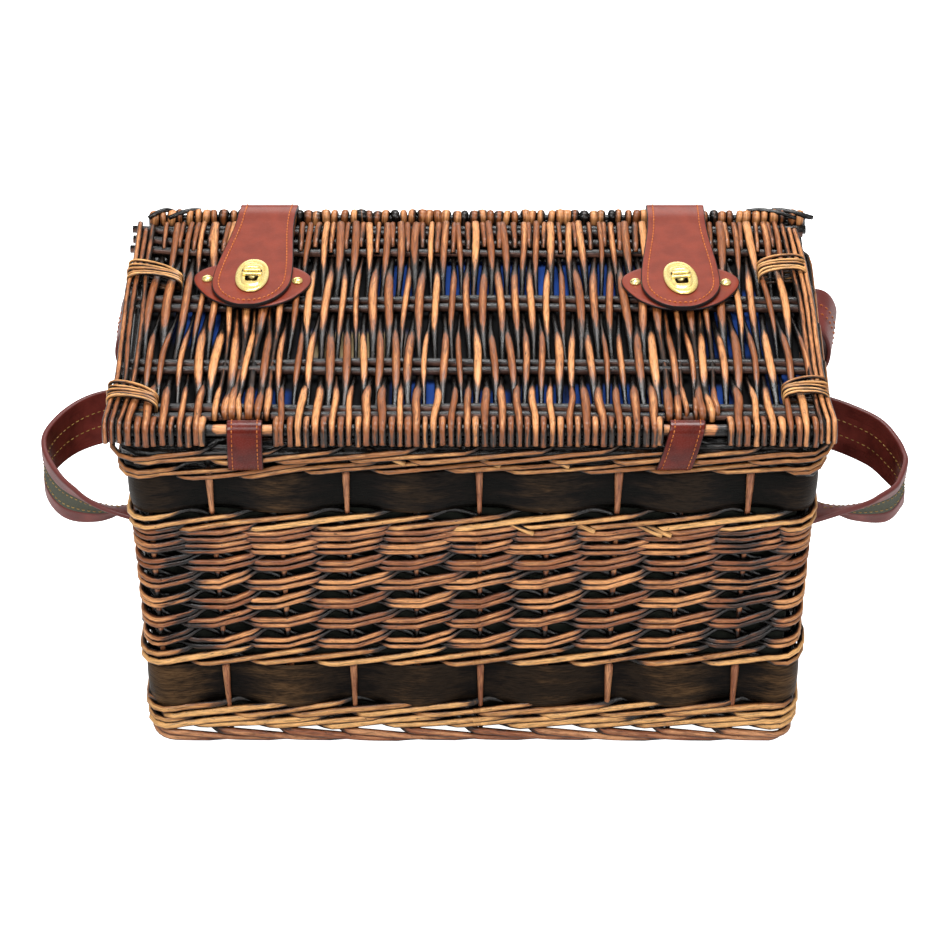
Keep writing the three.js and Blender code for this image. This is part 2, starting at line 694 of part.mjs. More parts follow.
function sideLoopStrap({ side, reach, slant }) {
  const middles = sideLoopStations.map(({ share, z }) => {
    return new THREE.Vector3(side * (sideLoop.wall + reach * share), sideLoop.y, z);
  });
  const stations = middles.map((middle, i) => {
    const before = middles[Math.max(i - 1, 0)];
    const after = middles[Math.min(i + 1, middles.length - 1)];
    const along = after.clone().sub(before).normalize();
    const half = sideLoop.width / 2;
    const across = new THREE.Vector3(side * slant * sideLoopStations[i].share * half, half, 0);
    const normal = along.clone().cross(new THREE.Vector3(0, 1, 0));
    return { middle, across, normal };
  });
  const strap = strapSolid(stations, leather.handle);
  return cut(strap, [wallSide(side, sideLoop.wall)]);
}

// Wall
addPiece('foot_border', footBorder(), willow);
addPiece('base_panel', basePanel(), willow);
addPiece('bottom_wale', waleRing(level.footTop, level.bottomWaleTop, waleRows, ribHeight.bottom), willow);
addPiece('lower_chip_band', chipRing(level.bottomWaleTop, level.lowerChipTop), chipWood);
const lowerWale = waleRing(level.lowerChipTop, level.lowerWaleTop, waleRows, ribHeight.lowerMid);
addPiece('lower_mid_wale', lowerWale, willow);
const randing = waleRing(level.lowerWaleTop, level.randingTop, randingRows, ribHeight.randing);
addPiece('randing_wall', randing, willow);
const upperWale = waleRing(level.randingTop, level.upperWaleTop, waleRows, ribHeight.upperMid);
addPiece('upper_mid_wale', upperWale, willow);
addPiece('upper_chip_band', upperChipBand(), chipWood);
addPiece('top_wale', waleRing(level.upperChipTop, wallHeight, waleRows, ribHeight.top, rimFlare), willow);
addPiece('wall_lining', wallLining(), oliveCloth);

// Leather on the wall
hingeLoops.forEach((loop) => addPiece(loop.name, hingeLoop(loop), maroon));
addPiece('handle_left', handleStrap(-1), maroon);
addPiece('handle_right', handleStrap(1), maroon);
sideLoops.forEach((loop) => addPiece(loop.name, sideLoopStrap(loop), maroon));

// Lid
addPiece('lid_panel', lidPanel(), willow);
addPiece('lid_front_rod', rodAlongX(-lidHalfWidth, lidHalfWidth, hinge.y, hinge.z, rodRadius), willow);
crossRodPlaces.forEach((y, i) => {
  const rod = rodAlongX(-crossRodHalfLength, crossRodHalfLength, y, hinge.z, rodRadius - gap / 2);
  addPiece(`lid_cross_rod_${i + 1}`, rod, darkRod);
});
const rail = rodAlongX(farRail.left, farRail.right, farRail.y, farRail.z, farRail.radius);
addPiece('lid_far_rail', rail, willow);
[['left', -1], ['right', 1]].forEach(([word, side]) => {
  const bundle = extrudeAlongY(sideBundleShape(side), sideBundle.near, sideBundle.far);
  addPiece(`side_bundle_${word}`, bundle, willow);
  const rodZ = wallHeight + gap + sideRod.radius;
  const rod = rodAlongY(side * sideRod.x, sideRod.near, sideRod.far, rodZ, sideRod.radius);
  addPiece(`side_rod_${word}`, rod, willow);
});
bindingPlaces.forEach((place) => addPiece(place.name, bindingRing(place), willow));
const liningTop = hinge.z - rodRadius - gap;
const liningLow = [-lidLining.halfWidth, lidLining.near, liningTop - liningThickness];
addPiece('lid_lining', boxBetween(liningLow, [lidLining.halfWidth, lidLining.far, liningTop]), blueCloth);

// Closures
locks.forEach((lock) => {
  addPiece(`lock_patch_${lock.side}`, leafPatch(lock), maroon);
  addPiece(`patch_screw_${lock.side}_1`, domedScrew(lock.x - screw.spread, lock.y), brass);
  addPiece(`patch_screw_${lock.side}_2`, domedScrew(lock.x + screw.spread, lock.y), brass);
  addPiece(`closure_strap_${lock.side}`, closureStrap(lock), maroon);
  addPiece(`lock_plate_${lock.side}`, lockPlateRing(lock), brass);
  addPiece(`turn_button_${lock.side}`, turnButtonSolid(lock), brass);
});

export default hamper;
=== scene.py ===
import bpy
import numpy as np
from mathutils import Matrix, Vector


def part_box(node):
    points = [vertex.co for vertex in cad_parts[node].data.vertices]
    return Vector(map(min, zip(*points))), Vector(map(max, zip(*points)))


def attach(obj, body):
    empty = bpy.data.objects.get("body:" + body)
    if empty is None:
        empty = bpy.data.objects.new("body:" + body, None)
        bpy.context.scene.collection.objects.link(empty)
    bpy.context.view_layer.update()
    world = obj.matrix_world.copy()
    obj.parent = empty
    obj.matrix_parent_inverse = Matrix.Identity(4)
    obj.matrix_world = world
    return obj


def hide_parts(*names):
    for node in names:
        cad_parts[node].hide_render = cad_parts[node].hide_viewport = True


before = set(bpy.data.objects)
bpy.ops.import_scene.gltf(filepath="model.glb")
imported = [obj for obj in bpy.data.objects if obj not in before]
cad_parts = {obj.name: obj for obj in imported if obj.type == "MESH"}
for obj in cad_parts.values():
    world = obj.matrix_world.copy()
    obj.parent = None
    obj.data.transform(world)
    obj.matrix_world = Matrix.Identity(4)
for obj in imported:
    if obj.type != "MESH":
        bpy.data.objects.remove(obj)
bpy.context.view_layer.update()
print("frame loaded", len(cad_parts), "nodes")

shiftY = -6.85  # from the middle of the wall to the middle of the whole box, mm
chance = np.random.default_rng(41)


# Camera, floor and light

studio = {
    "cameraPlace": (0.0019, -2.0353, 1.6212), "cameraTilt": 54.0, "lens": 137.6, "sensor": 36,
    "floorWhite": 0.8, "floorGlow": 1.2, "floorReach": 9, "skyStrength": 0.28,
    "lamps": [
        # name, place, aim, size, watts
        ("keyLamp", (-0.8, -1.3, 2.0), (0, 0, 0.2), 0.9, 38),
        ("fillLamp", (1.3, -1.9, 1.2), (0, 0, 0.15), 1.0, 20),
        ("topLamp", (0.1, 0.55, 1.9), (0, 0, 0.2), 0.8, 34),
        ("backLamp", (0.0, 2.1, 0.65), (0, 0.1, 0.25), 1.2, 7),
    ],
}


def putObject(name, data):  # an object for the data, linked to the scene
    made = bpy.data.objects.new(name, data)
    bpy.context.scene.collection.objects.link(made)
    return made


def setStudio(s):
    camera = putObject("camera", bpy.data.cameras.new("camera"))
    camera.location = s["cameraPlace"]
    camera.rotation_euler = (np.radians(s["cameraTilt"]), 0, 0)
    camera.data.lens, camera.data.sensor_width = s["lens"], s["sensor"]
    bpy.context.scene.camera = camera
    for name, place, aim, size, watts in s["lamps"]:
        lamp = putObject(name, bpy.data.lights.new(name, "AREA"))
        lamp.data.energy, lamp.data.size = watts, size
        lamp.location = place
        lamp.rotation_euler = (Vector(aim) - Vector(place)).to_track_quat("-Z", "Y").to_euler()
    sky = bpy.data.worlds.new("studioSky")
    sky.use_nodes = True
    sky.node_tree.nodes["Background"].inputs[0].default_value = (1, 1, 1, 1)
    sky.node_tree.nodes["Background"].inputs[1].default_value = s["skyStrength"]
    bpy.context.scene.world = sky
    bpy.context.scene.view_settings.view_transform = "Standard"


def putFloor(s):  # the pale floor, which glows a little like a lit table
    material, tree, shader = freshMaterial("paleFloor")
    shader.inputs["Base Color"].default_value = (s["floorWhite"],) * 3 + (1,)
    shader.inputs["Roughness"].default_value = 0.9
    shader.inputs["Emission Color"].default_value = (1, 1, 1, 1)
    seen = addNode(tree, "ShaderNodeLightPath").outputs["Is Camera Ray"]
    tree.links.new(sums(tree, "MULTIPLY", seen, s["floorGlow"]), shader.inputs["Emission Strength"])
    mesh = bpy.data.meshes.new("floor")
    far = s["floorReach"]
    mesh.from_pydata([(-far, -far, 0), (far, -far, 0), (far, far, 0), (-far, far, 0)], [], [(0, 1, 2, 3)])
    mesh.materials.append(material)
    putObject("floor", mesh)


# Node groups and materials

vectorSockets = ("Grain", "Place")
colourSockets = ("Light", "Deep", "Sheen", "Dark", "Rim", "Color")


def tint(red, green, blue):  # screen colour 0 to 255 as linear light
    c = np.array([red, green, blue]) / 255
    c = np.where(c <= 0.04045, c / 12.92, ((c + 0.055) / 1.055) ** 2.4)
    return (*c.tolist(), 1.0)


def freshMaterial(name):
    material = bpy.data.materials.new(name)
    material.use_nodes = True
    return material, material.node_tree, material.node_tree.nodes["Principled BSDF"]


def addNode(tree, kind, inputs=None, **settings):
    node = tree.nodes.new(kind)
    for key, value in settings.items():
        setattr(node, key, value)
    for key, value in (inputs or {}).items():
        if isinstance(value, bpy.types.NodeSocket):
            tree.links.new(value, node.inputs[key])
        else:
            node.inputs[key].default_value = value
    return node


def sums(tree, operation, *values):  # one Math node
    return addNode(tree, "ShaderNodeMath", dict(enumerate(values)), operation=operation).outputs[0]


def mixed(tree, share, one, other, blend="MIX"):  # one colour Mix node
    return addNode(tree, "ShaderNodeMix", {0: share, 6: one, 7: other}, data_type="RGBA", blend_type=blend).outputs[2]


def ranged(tree, value, low, high, toLow=0.0, toHigh=1.0):  # smooth step between two values
    inputs = {0: value, 1: low, 2: high, 3: toLow, 4: toHigh}
    return addNode(tree, "ShaderNodeMapRange", inputs, interpolation_type="SMOOTHSTEP").outputs[0]


def noised(tree, vector, stretch, detail=3.0, rough=0.55):  # noise on a stretched vector
    wide = addNode(tree, "ShaderNodeVectorMath", {0: vector, 1: stretch}, operation="MULTIPLY").outputs[0]
    inputs = {"Vector": wide, "Scale": 1.0, "Detail": detail, "Roughness": rough}
    return addNode(tree, "ShaderNodeTexNoise", inputs).outputs[0]


def newGroup(name, *inputs):  # a shader group with these inputs that gives a colour, a roughness and a height
    tree = bpy.data.node_groups.new(name, "ShaderNodeTree")
    for side, labels in (("INPUT", inputs), ("OUTPUT", ("Color", "Roughness", "Height"))):
        for label in labels:
            kind = "Vector" if label in vectorSockets else "Color" if label in colourSockets else "Float"
            tree.interface.new_socket(label, in_out=side, socket_type="NodeSocket" + kind)
    return tree, tree.nodes.new("NodeGroupInput").outputs


def closeGroup(tree, colour, roughness, height):
    out = tree.nodes.new("NodeGroupOutput").inputs
    tree.links.new(colour, out["Color"])
    tree.links.new(roughness, out["Roughness"])
    tree.links.new(height, out["Height"])
    return tree


def rodStainAndShadeGroup():
    # dark stain and painted shade in the hollows, brown on the flanks, rubbed back to honey along the crest, streaks
    # along the rod; a Raised above 1 pushes it further to Light as a painted highlight
    tree, given = newGroup("rodStainAndShade", "Raised", "Tone", "Grain", "Light", "Deep", "Sheen", "Dark")
    broad = noised(tree, given["Grain"], (0.03, 0.22, 0.22))
    fine = noised(tree, given["Grain"], (0.13, 1.5, 1.5), 4.0, 0.65)
    speck = noised(tree, given["Grain"], (0.26, 0.8, 0.8), 2.0)
    rubbed = sums(tree, "MULTIPLY_ADD", broad, 1.4, -0.74)
    rubbed = sums(tree, "ADD", rubbed, sums(tree, "MULTIPLY_ADD", fine, 0.5, -0.25))
    worn = sums(tree, "ADD", given["Raised"], rubbed)
    crest = sums(tree, "ADD", worn, sums(tree, "MULTIPLY_ADD", given["Tone"], 0.7, -0.42))
    colour = mixed(tree, ranged(tree, worn, 0.02, 0.3), given["Dark"], given["Sheen"])
    colour = mixed(tree, ranged(tree, worn, 0.26, 0.56), colour, given["Deep"])
    colour = mixed(tree, ranged(tree, crest, 0.4, 1.15), colour, given["Light"])
    streak = ranged(tree, fine, 0.3, 0.62, 0.42, 1.08)
    grey = addNode(tree, "ShaderNodeCombineColor", {0: streak, 1: streak, 2: streak}).outputs[0]
    colour = mixed(tree, 1.0, colour, grey, "MULTIPLY")
    colour = mixed(tree, ranged(tree, speck, 0.66, 0.74, 0.0, 0.8), colour, given["Dark"])
    roughness = ranged(tree, sums(tree, "ADD", worn, fine), 0.3, 1.6, 0.27, 0.4)
    return closeGroup(tree, colour, roughness, sums(tree, "ADD", fine, sums(tree, "MULTIPLY", broad, 0.6)))


def hideGroup():  # smooth leather: cloudy colour, fine pores, rubbed edges; brass and threads take it too, and on brass the edge colour is painted shade in slots and grooves
    tree, given = newGroup("hide", "Place", "Edge", "Matt", "Light", "Deep", "Rim")
    cloud = noised(tree, given["Place"], (0.07, 0.07, 0.07), 4.0)
    pore = noised(tree, given["Place"], (1.5, 1.5, 1.5), 3.0, 0.6)
    crease = noised(tree, given["Place"], (0.5, 0.5, 0.5), 5.0, 0.7)
    shade = sums(tree, "ADD", ranged(tree, cloud, 0.3, 0.7), sums(tree, "MULTIPLY_ADD", pore, 0.7, -0.35))
    colour = mixed(tree, shade, given["Deep"], given["Light"])
    colour = mixed(tree, ranged(tree, given["Edge"], 0.35, 0.75), colour, given["Rim"])
    roughness = sums(tree, "MULTIPLY", given["Matt"], ranged(tree, pore, 0.3, 0.7, 0.8, 1.2))
    return closeGroup(tree, colour, roughness, sums(tree, "ADD", pore, crease))


def clothGroup():
    # plain weave: threads across and along, one over the other in turn, painted dark as shade where Unshaded is 0
    tree, given = newGroup("plainWeave", "Place", "Edge", "Unshaded", "Thread", "Light", "Deep", "Rim")
    axes = addNode(tree, "ShaderNodeSeparateXYZ", {0: given["Place"]}).outputs
    turns = sums(tree, "DIVIDE", 3.14159, given["Thread"])
    across, along = (sums(tree, "SINE", sums(tree, "MULTIPLY", axes[n], turns)) for n in (0, 1))
    checks = sums(tree, "ABSOLUTE", sums(tree, "MULTIPLY", across, along))
    fuzz = noised(tree, given["Place"], (0.9, 0.9, 0.9), 3.0)
    height = sums(tree, "ADD", checks, sums(tree, "MULTIPLY", fuzz, 0.4))
    cloud = noised(tree, given["Place"], (0.03, 0.03, 0.03))
    shade = sums(tree, "ADD", sums(tree, "MULTIPLY", height, 0.6), sums(tree, "MULTIPLY_ADD", cloud, 0.8, -0.4))
    bright = mixed(tree, given["Edge"], given["Light"], given["Rim"])
    colour = mixed(tree, shade, mixed(tree, 0.3, given["Deep"], bright), bright)
    colour = mixed(tree, given["Unshaded"], given["Deep"], colour)
    return closeGroup(tree, colour, ranged(tree, fuzz, 0.2, 0.8, 0.78, 0.95), height)


rodStainAndShade, hide, plainWeave = rodStainAndShadeGroup(), hideGroup(), clothGroup()
finishes = {
    # group, attributes that it reads, colours that it takes, strength and depth of the bump
    "rod": (
        rodStainAndShade, {"Raised": "raised", "Tone": "tone", "Grain": "grain"}, ("Light", "Deep", "Sheen", "Dark"), 0.5, 0.0006,
    ),
    "leather": (hide, {"Place": "grain", "Edge": "edge"}, ("Light", "Deep", "Rim"), 0.22, 0.0004),
    "metal": (hide, {"Place": "grain", "Edge": "edge"}, ("Light", "Deep", "Rim"), 0.008, 0.0002),
    "cloth": (plainWeave, {"Place": "grain", "Edge": "edge", "Unshaded": "tone"}, ("Light", "Deep", "Rim"), 0.6, 0.0005),
}


def newMaterial(name, finish, colours, shine, given, metallic=0.0):
    # the finish's group feeds a Principled shader, with a bump from its height
    group, attributes, labels, bump, depth = finishes[finish]
    material, tree, shader = freshMaterial(name)
    shader.inputs["Specular IOR Level"].default_value = shine
    shader.inputs["Metallic"].default_value = metallic
    inputs = {label: tint(*colour) for label, colour in zip(labels, colours)}
    used = addNode(tree, "ShaderNodeGroup", {**inputs, **given}, node_tree=group)
    for label, attribute in attributes.items():
        read = addNode(tree, "ShaderNodeAttribute", attribute_name=attribute)
        tree.links.new(read.outputs["Vector" if label in vectorSockets else "Fac"], used.inputs[label])
    tree.links.new(used.outputs["Color"], shader.inputs["Base Color"])
    tree.links.new(used.outputs["Roughness"], shader.inputs["Roughness"])
    raised = addNode(tree, "ShaderNodeBump", {"Strength": bump, "Distance": depth, "Height": used.outputs["Height"]})
    tree.links.new(raised.outputs[0], shader.inputs["Normal"])
    return material


lookTable = {
    # finish, colours, shine, then what the finish's group is given besides
    "wallRod": ("rod", ((222, 156, 98), (138, 80, 46), (58, 36, 25), (10, 7, 6)), 0.4, {}),
    "waleRod": ("rod", ((230, 174, 108), (158, 100, 54), (62, 38, 22), (10, 7, 5)), 0.4, {}),
    "footRod": ("rod", ((206, 146, 100), (138, 80, 50), (62, 38, 28), (12, 9, 7)), 0.4, {}),
    "lidRod": ("rod", ((216, 148, 92), (138, 78, 40), (50, 33, 22), (10, 7, 5)), 0.5, {}),
    "crossRod": ("rod", ((136, 94, 78), (76, 50, 40), (30, 21, 17), (10, 8, 7)), 0.45, {}),
    "chip": ("rod", ((86, 63, 40), (36, 27, 19), (19, 14, 11), (9, 8, 6)), 0.06, {}),
    "strap": ("leather", ((129, 50, 29), (112, 40, 22), (30, 26, 28)), 0.3, {"Matt": 0.42}),
    "hinge": ("leather", ((98, 28, 17), (70, 17, 9), (44, 18, 15)), 0.3, {"Matt": 0.26}),
    "handle": ("leather", ((118, 49, 42), (90, 34, 29), (98, 46, 42)), 0.35, {"Matt": 0.42}),
    "paleThread": ("leather", ((178, 146, 72), (142, 104, 44), (120, 84, 36)), 0.5, {"Matt": 0.42}),
    "thread": ("leather", ((214, 124, 48), (176, 88, 28), (140, 70, 24)), 0.5, {"Matt": 0.42}),
    # the blue cloth's Deep is mostly the painted shade on the upper face of the lid lining
    "blueCloth": ("cloth", ((38, 90, 190), (6, 6, 8), (255, 224, 168)), 0.25, {"Thread": 0.7}),
    "oliveCloth": ("cloth", ((50, 54, 46), (20, 22, 18), (50, 54, 46)), 0.25, {"Thread": 0.8}),
    "canvas": ("cloth", ((100, 101, 86), (46, 49, 42), (100, 101, 86)), 0.25, {"Thread": 0.9}),
    # the brass Rim colour is painted shade in its slots, grooves and hole
    "brass": ("metal", ((252, 230, 156), (244, 214, 128), (52, 38, 14)), 0.5, {"Matt": 0.24}, 0.6),
}
looks = {name: newMaterial(name + "Look", *row) for name, row in lookTable.items()}
print("materials made", len(looks))


# Meshes from arrays

def ease(value, low, high):  # smooth step from 0 at low to 1 at high
    t = np.clip((value - low) / (high - low), 0, 1)
    return t * t * (3 - 2 * t)


def squaredOff(wave, power):  # a wave made squarer: its size raised to a small power, its sign kept
    return np.sign(wave) * np.abs(wave) ** power


def unit(v):
    return v / np.linalg.norm(v, axis=-1, keepdims=True)


def spots(x, y, z):  # points from x, y and z, each widened to the shape of the others
    return np.stack(np.broadcast_arrays(x, y, z), -1)


def walked(path):  # length along a path up to each point
    return np.linalg.norm(np.diff(path, axis=-2, prepend=path[..., :1, :]), axis=-1).cumsum(-1)


def columns(rows):  # each column of a table as an upright array
    return [np.array(column, float)[:, None] for column in zip(*rows)]


def drawn(low, high, count):  # one random value for each rod, as an upright array
    return chance.uniform(low, high, (count, 1))


def wander(count, steps, size, waves):  # slow closed waves of random phase, one row for each rod
    t = 2 * np.pi * np.arange(steps) / steps
    turns = chance.integers(waves[0], waves[1] + 1, (count, 3, 1))
    phase = chance.uniform(0, 2 * np.pi, (count, 3, 1))
    return size * np.sin(turns * t + phase).mean(1)


def skin(rings, closed=False):
    # quads over a grid of rings (ring, around), faces outward; open ends are capped flat with strips of quads
    steps, sides = rings.shape[:2]
    i, j = np.meshgrid(np.arange(steps if closed else steps - 1), np.arange(sides), indexing="ij")
    ahead, beside = (i + 1) % steps, (j + 1) % sides
    quads = np.stack([i * sides + j, ahead * sides + j, ahead * sides + beside, i * sides + beside], -1).reshape(-1, 4)
    flat = np.zeros(len(quads), bool)
    if not closed:
        k = np.arange(sides // 2 - 1)
        cap = np.stack([k, k + 1, sides - 2 - k, sides - 1 - k], -1)
        quads = np.concatenate([quads, cap, cap[:, ::-1] + (steps - 1) * sides])
        flat = np.append(flat, np.ones(2 * len(cap), bool))
    points = rings.reshape(-1, 3)
    a, b, c, d = (points[quads[:, n]] for n in range(4))
    volume = np.sum(a * np.cross(b, c)) + np.sum(a * np.cross(c, d))
    return points, (quads if volume > 0 else quads[:, ::-1]), flat


def tubes(paths, size, sides, upright=(0, 0, 1), closed=False, raised=1.0, tone=0.5, flankStainAndShade=0.75, crest=0.0,
          upwards=None):
    # a tube round each path: centre + size cos(a) side + upwards sin(a) up, side = path direction x upright;
    # the stain is rubbed off along the crest and stays in the hollows beside it; the flanks are darkened by their angle
    # from the crest, partly stain and partly painted shade
    count, steps = paths.shape[:2]
    step = unit(np.roll(paths, -1, 1) - np.roll(paths, 1, 1) if closed else np.gradient(paths, axis=1))
    side = unit(np.cross(step, np.broadcast_to(np.asarray(upright, float), step.shape)))
    up = np.cross(side, step)
    angle = 2 * np.pi * np.arange(sides) / sides
    upwards = size if upwards is None else upwards
    wide, tall = (np.broadcast_to(w, (count, steps))[:, :, None] for w in (size, upwards))
    cosine, sine = wide * np.cos(angle), tall * np.sin(angle)
    rings = paths[:, :, None] + cosine[..., None] * side[:, :, None] + sine[..., None] * up[:, :, None]
    quads, flat = skin(rings[0], closed)[1:]
    whole = steps * sides
    quads = (quads[None] + whole * np.arange(count)[:, None, None]).reshape(-1, 4)
    start = chance.uniform(0, 4000, (count, 1, 1))
    grain = spots(walked(paths)[:, :, None] + start, cosine + start, sine)
    away = np.abs(np.mod(np.degrees(angle) - crest + 180, 360) - 180)
    # flanks darker away from the crest: stain and painted shade
    raised = np.broadcast_to(raised, (count, steps))[:, :, None] - flankStainAndShade * ease(away, 8, 84)
    return {
        "points": rings.reshape(-1, 3), "quads": quads, "flat": np.tile(flat, count),
        "grain": grain.reshape(-1, 3), "raised": raised.ravel(),
        "tone": np.repeat(np.broadcast_to(tone, count), whole), "edge": np.zeros(count * whole),
    }


def solid(rings, closed=False, grain=None, raised=1.0, tone=1.0, edge=0.0):  # one skin with its marks
    points, quads, flat = skin(rings, closed)
    marks = {"raised": raised, "tone": tone, "edge": edge}
    return {
        "points": points, "quads": quads, "flat": flat, "grain": points if grain is None else grain.reshape(-1, 3),
        **{key: np.broadcast_to(value, rings.shape[:2]).ravel() for key, value in marks.items()},
    }


def band(path, across, normal, half, thick, cells, rounding=0.9, closed=False):
    # a rounded flat section carried along a path: path + v across + w normal, v to the half width and
    # w to half the thickness
    turn = np.radians([12, 35, 62, 90])
    corner = np.stack([rounding * np.cos(turn), thick / 2 - rounding + rounding * np.sin(turn)])
    share = np.linspace(1, -1, cells + 1)[1:-1]
    side = np.concatenate([np.ones(4), share, -np.ones(4)])
    push = np.concatenate([corner[0], 0 * share, -corner[0][::-1]])
    lift = np.concatenate([corner[1], 0 * share + thick / 2, corner[1][::-1]])
    side, push, lift = (np.concatenate([w, f * w[::-1]]) for w, f in ((side, 1), (push, 1), (lift, -1)))
    v = side * (np.broadcast_to(half, len(path))[:, None] - rounding) + push
    rings = path[:, None] + v[..., None] * across[:, None] + lift[None, :, None] * normal[:, None]
    rim = (np.abs(lift) < thick / 2 - 0.05).astype(float)
    return solid(rings, closed, spots(walked(path)[:, None], v, lift), edge=rim)


def joined(parts):
    starts = np.cumsum([0] + [len(p["points"]) for p in parts])
    whole = {key: np.concatenate([p[key] for p in parts]) for key in parts[0] if key != "quads"}
    whole["quads"] = np.concatenate([p["quads"] + n for p, n in zip(parts, starts)])
    return whole


def putPiece(name, parts, look, body, standsFor=()):  # arrays in mm to a mesh in metres that rides on a body
    part = joined(parts) if isinstance(parts, list) else parts
    mesh = bpy.data.meshes.new(name)
    points = (part["points"] + (0, shiftY, 0)) * 0.001
    quads = part["quads"]
    mesh.vertices.add(len(points))
    mesh.vertices.foreach_set("co", points.astype(np.float32).ravel())
    mesh.loops.add(quads.size)
    mesh.loops.foreach_set("vertex_index", quads.astype(np.int32).ravel())
    mesh.polygons.add(len(quads))
    mesh.polygons.foreach_set("loop_start", np.arange(0, quads.size, 4, dtype=np.int32))
    mesh.polygons.foreach_set("use_smooth", ~part["flat"])
    mesh.update(calc_edges=True)
    for key, kind, field in (("raised", "FLOAT", "value"), ("tone", "FLOAT", "value"), ("edge", "FLOAT", "value"),
                             ("grain", "FLOAT_VECTOR", "vector")):
        mesh.attributes.new(key, kind, "POINT").data.foreach_set(field, part[key].astype(np.float32).ravel())
    mesh.materials.append(looks[look])
    piece = putObject(name, mesh)
    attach(piece, body)
    if standsFor:
        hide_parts(*standsFor)
    return piece


def smoothPath(points, steps, closed=False):  # a soft curve through the points, evenly spaced by length
    p = np.asarray(points, float)
    n = len(p)
    t = np.linspace(0, n if closed else n - 1, 24 * n, endpoint=not closed)
    i = np.minimum(t.astype(int), n - 1 if closed else n - 2)
    f = (t - i)[:, None]
    a, b, c, d = (p[(i + k) % n if closed else np.clip(i + k, 0, n - 1)] for k in (-1, 0, 1, 2))
    curve = 0.5 * (2 * b + (c - a) * f + (2 * a - 5 * b + 4 * c - d) * f ** 2 + (3 * b - a - 3 * c + d) * f ** 3)
    if closed:
        curve = np.concatenate([curve, curve[:1]])
    gone = walked(curve[:, :3])
    even = np.linspace(0, gone[-1], steps, endpoint=not closed)
    return np.stack([np.interp(even, gone, curve[:, k]) for k in range(p.shape[1])], -1)


# Wall

wall = {
    "height": 258.0, "halfWidth": (215.5, 222.0), "halfDepth": (109.0, 115.5), "corner": 12.0,
    "stakes": 30, "firstStakeX": 6.0,
}


def halfSizes(z, offset):  # half width, half depth and corner radius of the wall at a height
    share = z / wall["height"]
    a, b = (low + share * (high - low) + offset for low, high in (wall["halfWidth"], wall["halfDepth"]))
    return a, b, wall["corner"] + offset


def stretchLengths():  # straight and round stretches of the wall at half its height, from the near middle to the right
    a, b, r = halfSizes(wall["height"] / 2, 0)
    corner = np.pi * r / 2
    return np.array([a - r, corner, 2 * (b - r), corner, 2 * (a - r), corner, 2 * (b - r), corner, a - r])


stretches = stretchLengths()
stretchEnds = stretches.cumsum()
stakePitch = stretches.sum() / wall["stakes"]


def wallPoint(turn, z, offset):
    # the rounded rectangle of the wall, walked from the near middle to the right, one turn a stake, wider with height
    turn, z, offset = np.broadcast_arrays(np.asarray(turn, float), z, offset)
    a, b, r = halfSizes(z, offset)
    gone = np.mod(wall["firstStakeX"] + turn * stakePitch, stretches.sum())
    part = np.clip(np.searchsorted(stretchEnds, gone), 0, 8)
    s = (gone - stretchEnds[part] + stretches[part]) / stretches[part]
    sine, cosine = np.sin(s * np.pi / 2), np.cos(s * np.pi / 2)
    x = np.choose(part, [s * (a - r), a - r + r * sine, a, a - r + r * cosine, (1 - 2 * s) * (a - r),
                         r - a - r * sine, -a, r - a - r * cosine, (s - 1) * (a - r)])
    y = np.choose(part, [-b, r - b - r * cosine, (2 * s - 1) * (b - r), b - r + r * sine, b,
                         b - r + r * cosine, (1 - 2 * s) * (b - r), r - b - r * sine, -b])
    return np.stack([x, y, z], -1)


def shortSides(turn):  # 1 on the short sides of the wall, 0 on the long ones
    return ease(np.abs(wallPoint(turn, wall["height"], 0)[:, 0]), 203, 219)


randing = {
    "rows": (90.5, 108.0, 125.0, 141.5, 157.5, 171.5, 182.5), "top": 193.0, "rod": 2.2, "spacing": 4.8,
    "front": 2.9, "behind": -2.8, "steps": 12, "climb": 0.66, "slip": 0.16, "bow": 0.9, "flankStainAndShade": 0.92, "crest": 25,
}


def randingRods(s):
    # each pair goes before one stake and behind the next; it comes in level, kinks at the stake and climbs a row;
    # it is darker where it goes behind a stake, partly stain and partly painted shade, and darker towards the two ends
    # of a long side
    base = np.array(s["rows"])
    climb = np.diff(np.append(base, s["top"]))
    row, first, twin = (g.ravel() for g in np.meshgrid(np.arange(len(base)), [0, 1], [0, 1], indexing="ij"))
    pairs = len(base) * 2
    steps = wall["stakes"] * s["steps"]
    turn = np.arange(steps) / s["steps"]
    slip = wander(pairs, steps, s["slip"], (3, 16)).repeat(2, 0)
    place = np.mod(turn[None] + slip - first[:, None] + 1, 2) - 1
    out = s["front"] + (s["behind"] - s["front"]) * ease(np.abs(place), 0.42, 0.7)
    after = np.where(place < -0.6, place + 2, place)
    level = np.where(after <= 0.7, np.maximum(after, 0) / 0.7, 1 - ease(after, 0.7, 1.25))
    bow = wander(len(row), steps, s["bow"], (2, 9))
    z = base[row][:, None] + (climb[row][:, None] * s["climb"]) * level + (twin[:, None] - 0.5) * s["spacing"] + bow
    # darker where it goes behind a stake: stain and painted shade
    raised = ease(place, -0.72, -0.3) * (1 - 0.9 * ease(place, 0.3, 0.68)) * (1 - ease(np.abs(place), 0.6, 0.72))
    end = np.abs(wallPoint(turn, 140, 0)[:, 0] + 4)[None] + drawn(-8, 8, pairs).repeat(2, 0)
    raised = raised * (1 - 0.5 * ease(end, 158, 182) * (1 - ease(end, 192, 208))) * np.where(twin, 1.0, 0.86)[:, None]
    size = s["rod"] * drawn(0.88, 1.08, len(row))
    tone = np.repeat(chance.uniform(0.15, 0.95, pairs), 2) + chance.uniform(-0.12, 0.12, len(row))
    paths = wallPoint(turn[None], z, out)
    return tubes(paths, size, 8, closed=True, raised=raised, tone=tone, flankStainAndShade=s["flankStainAndShade"], crest=s["crest"])


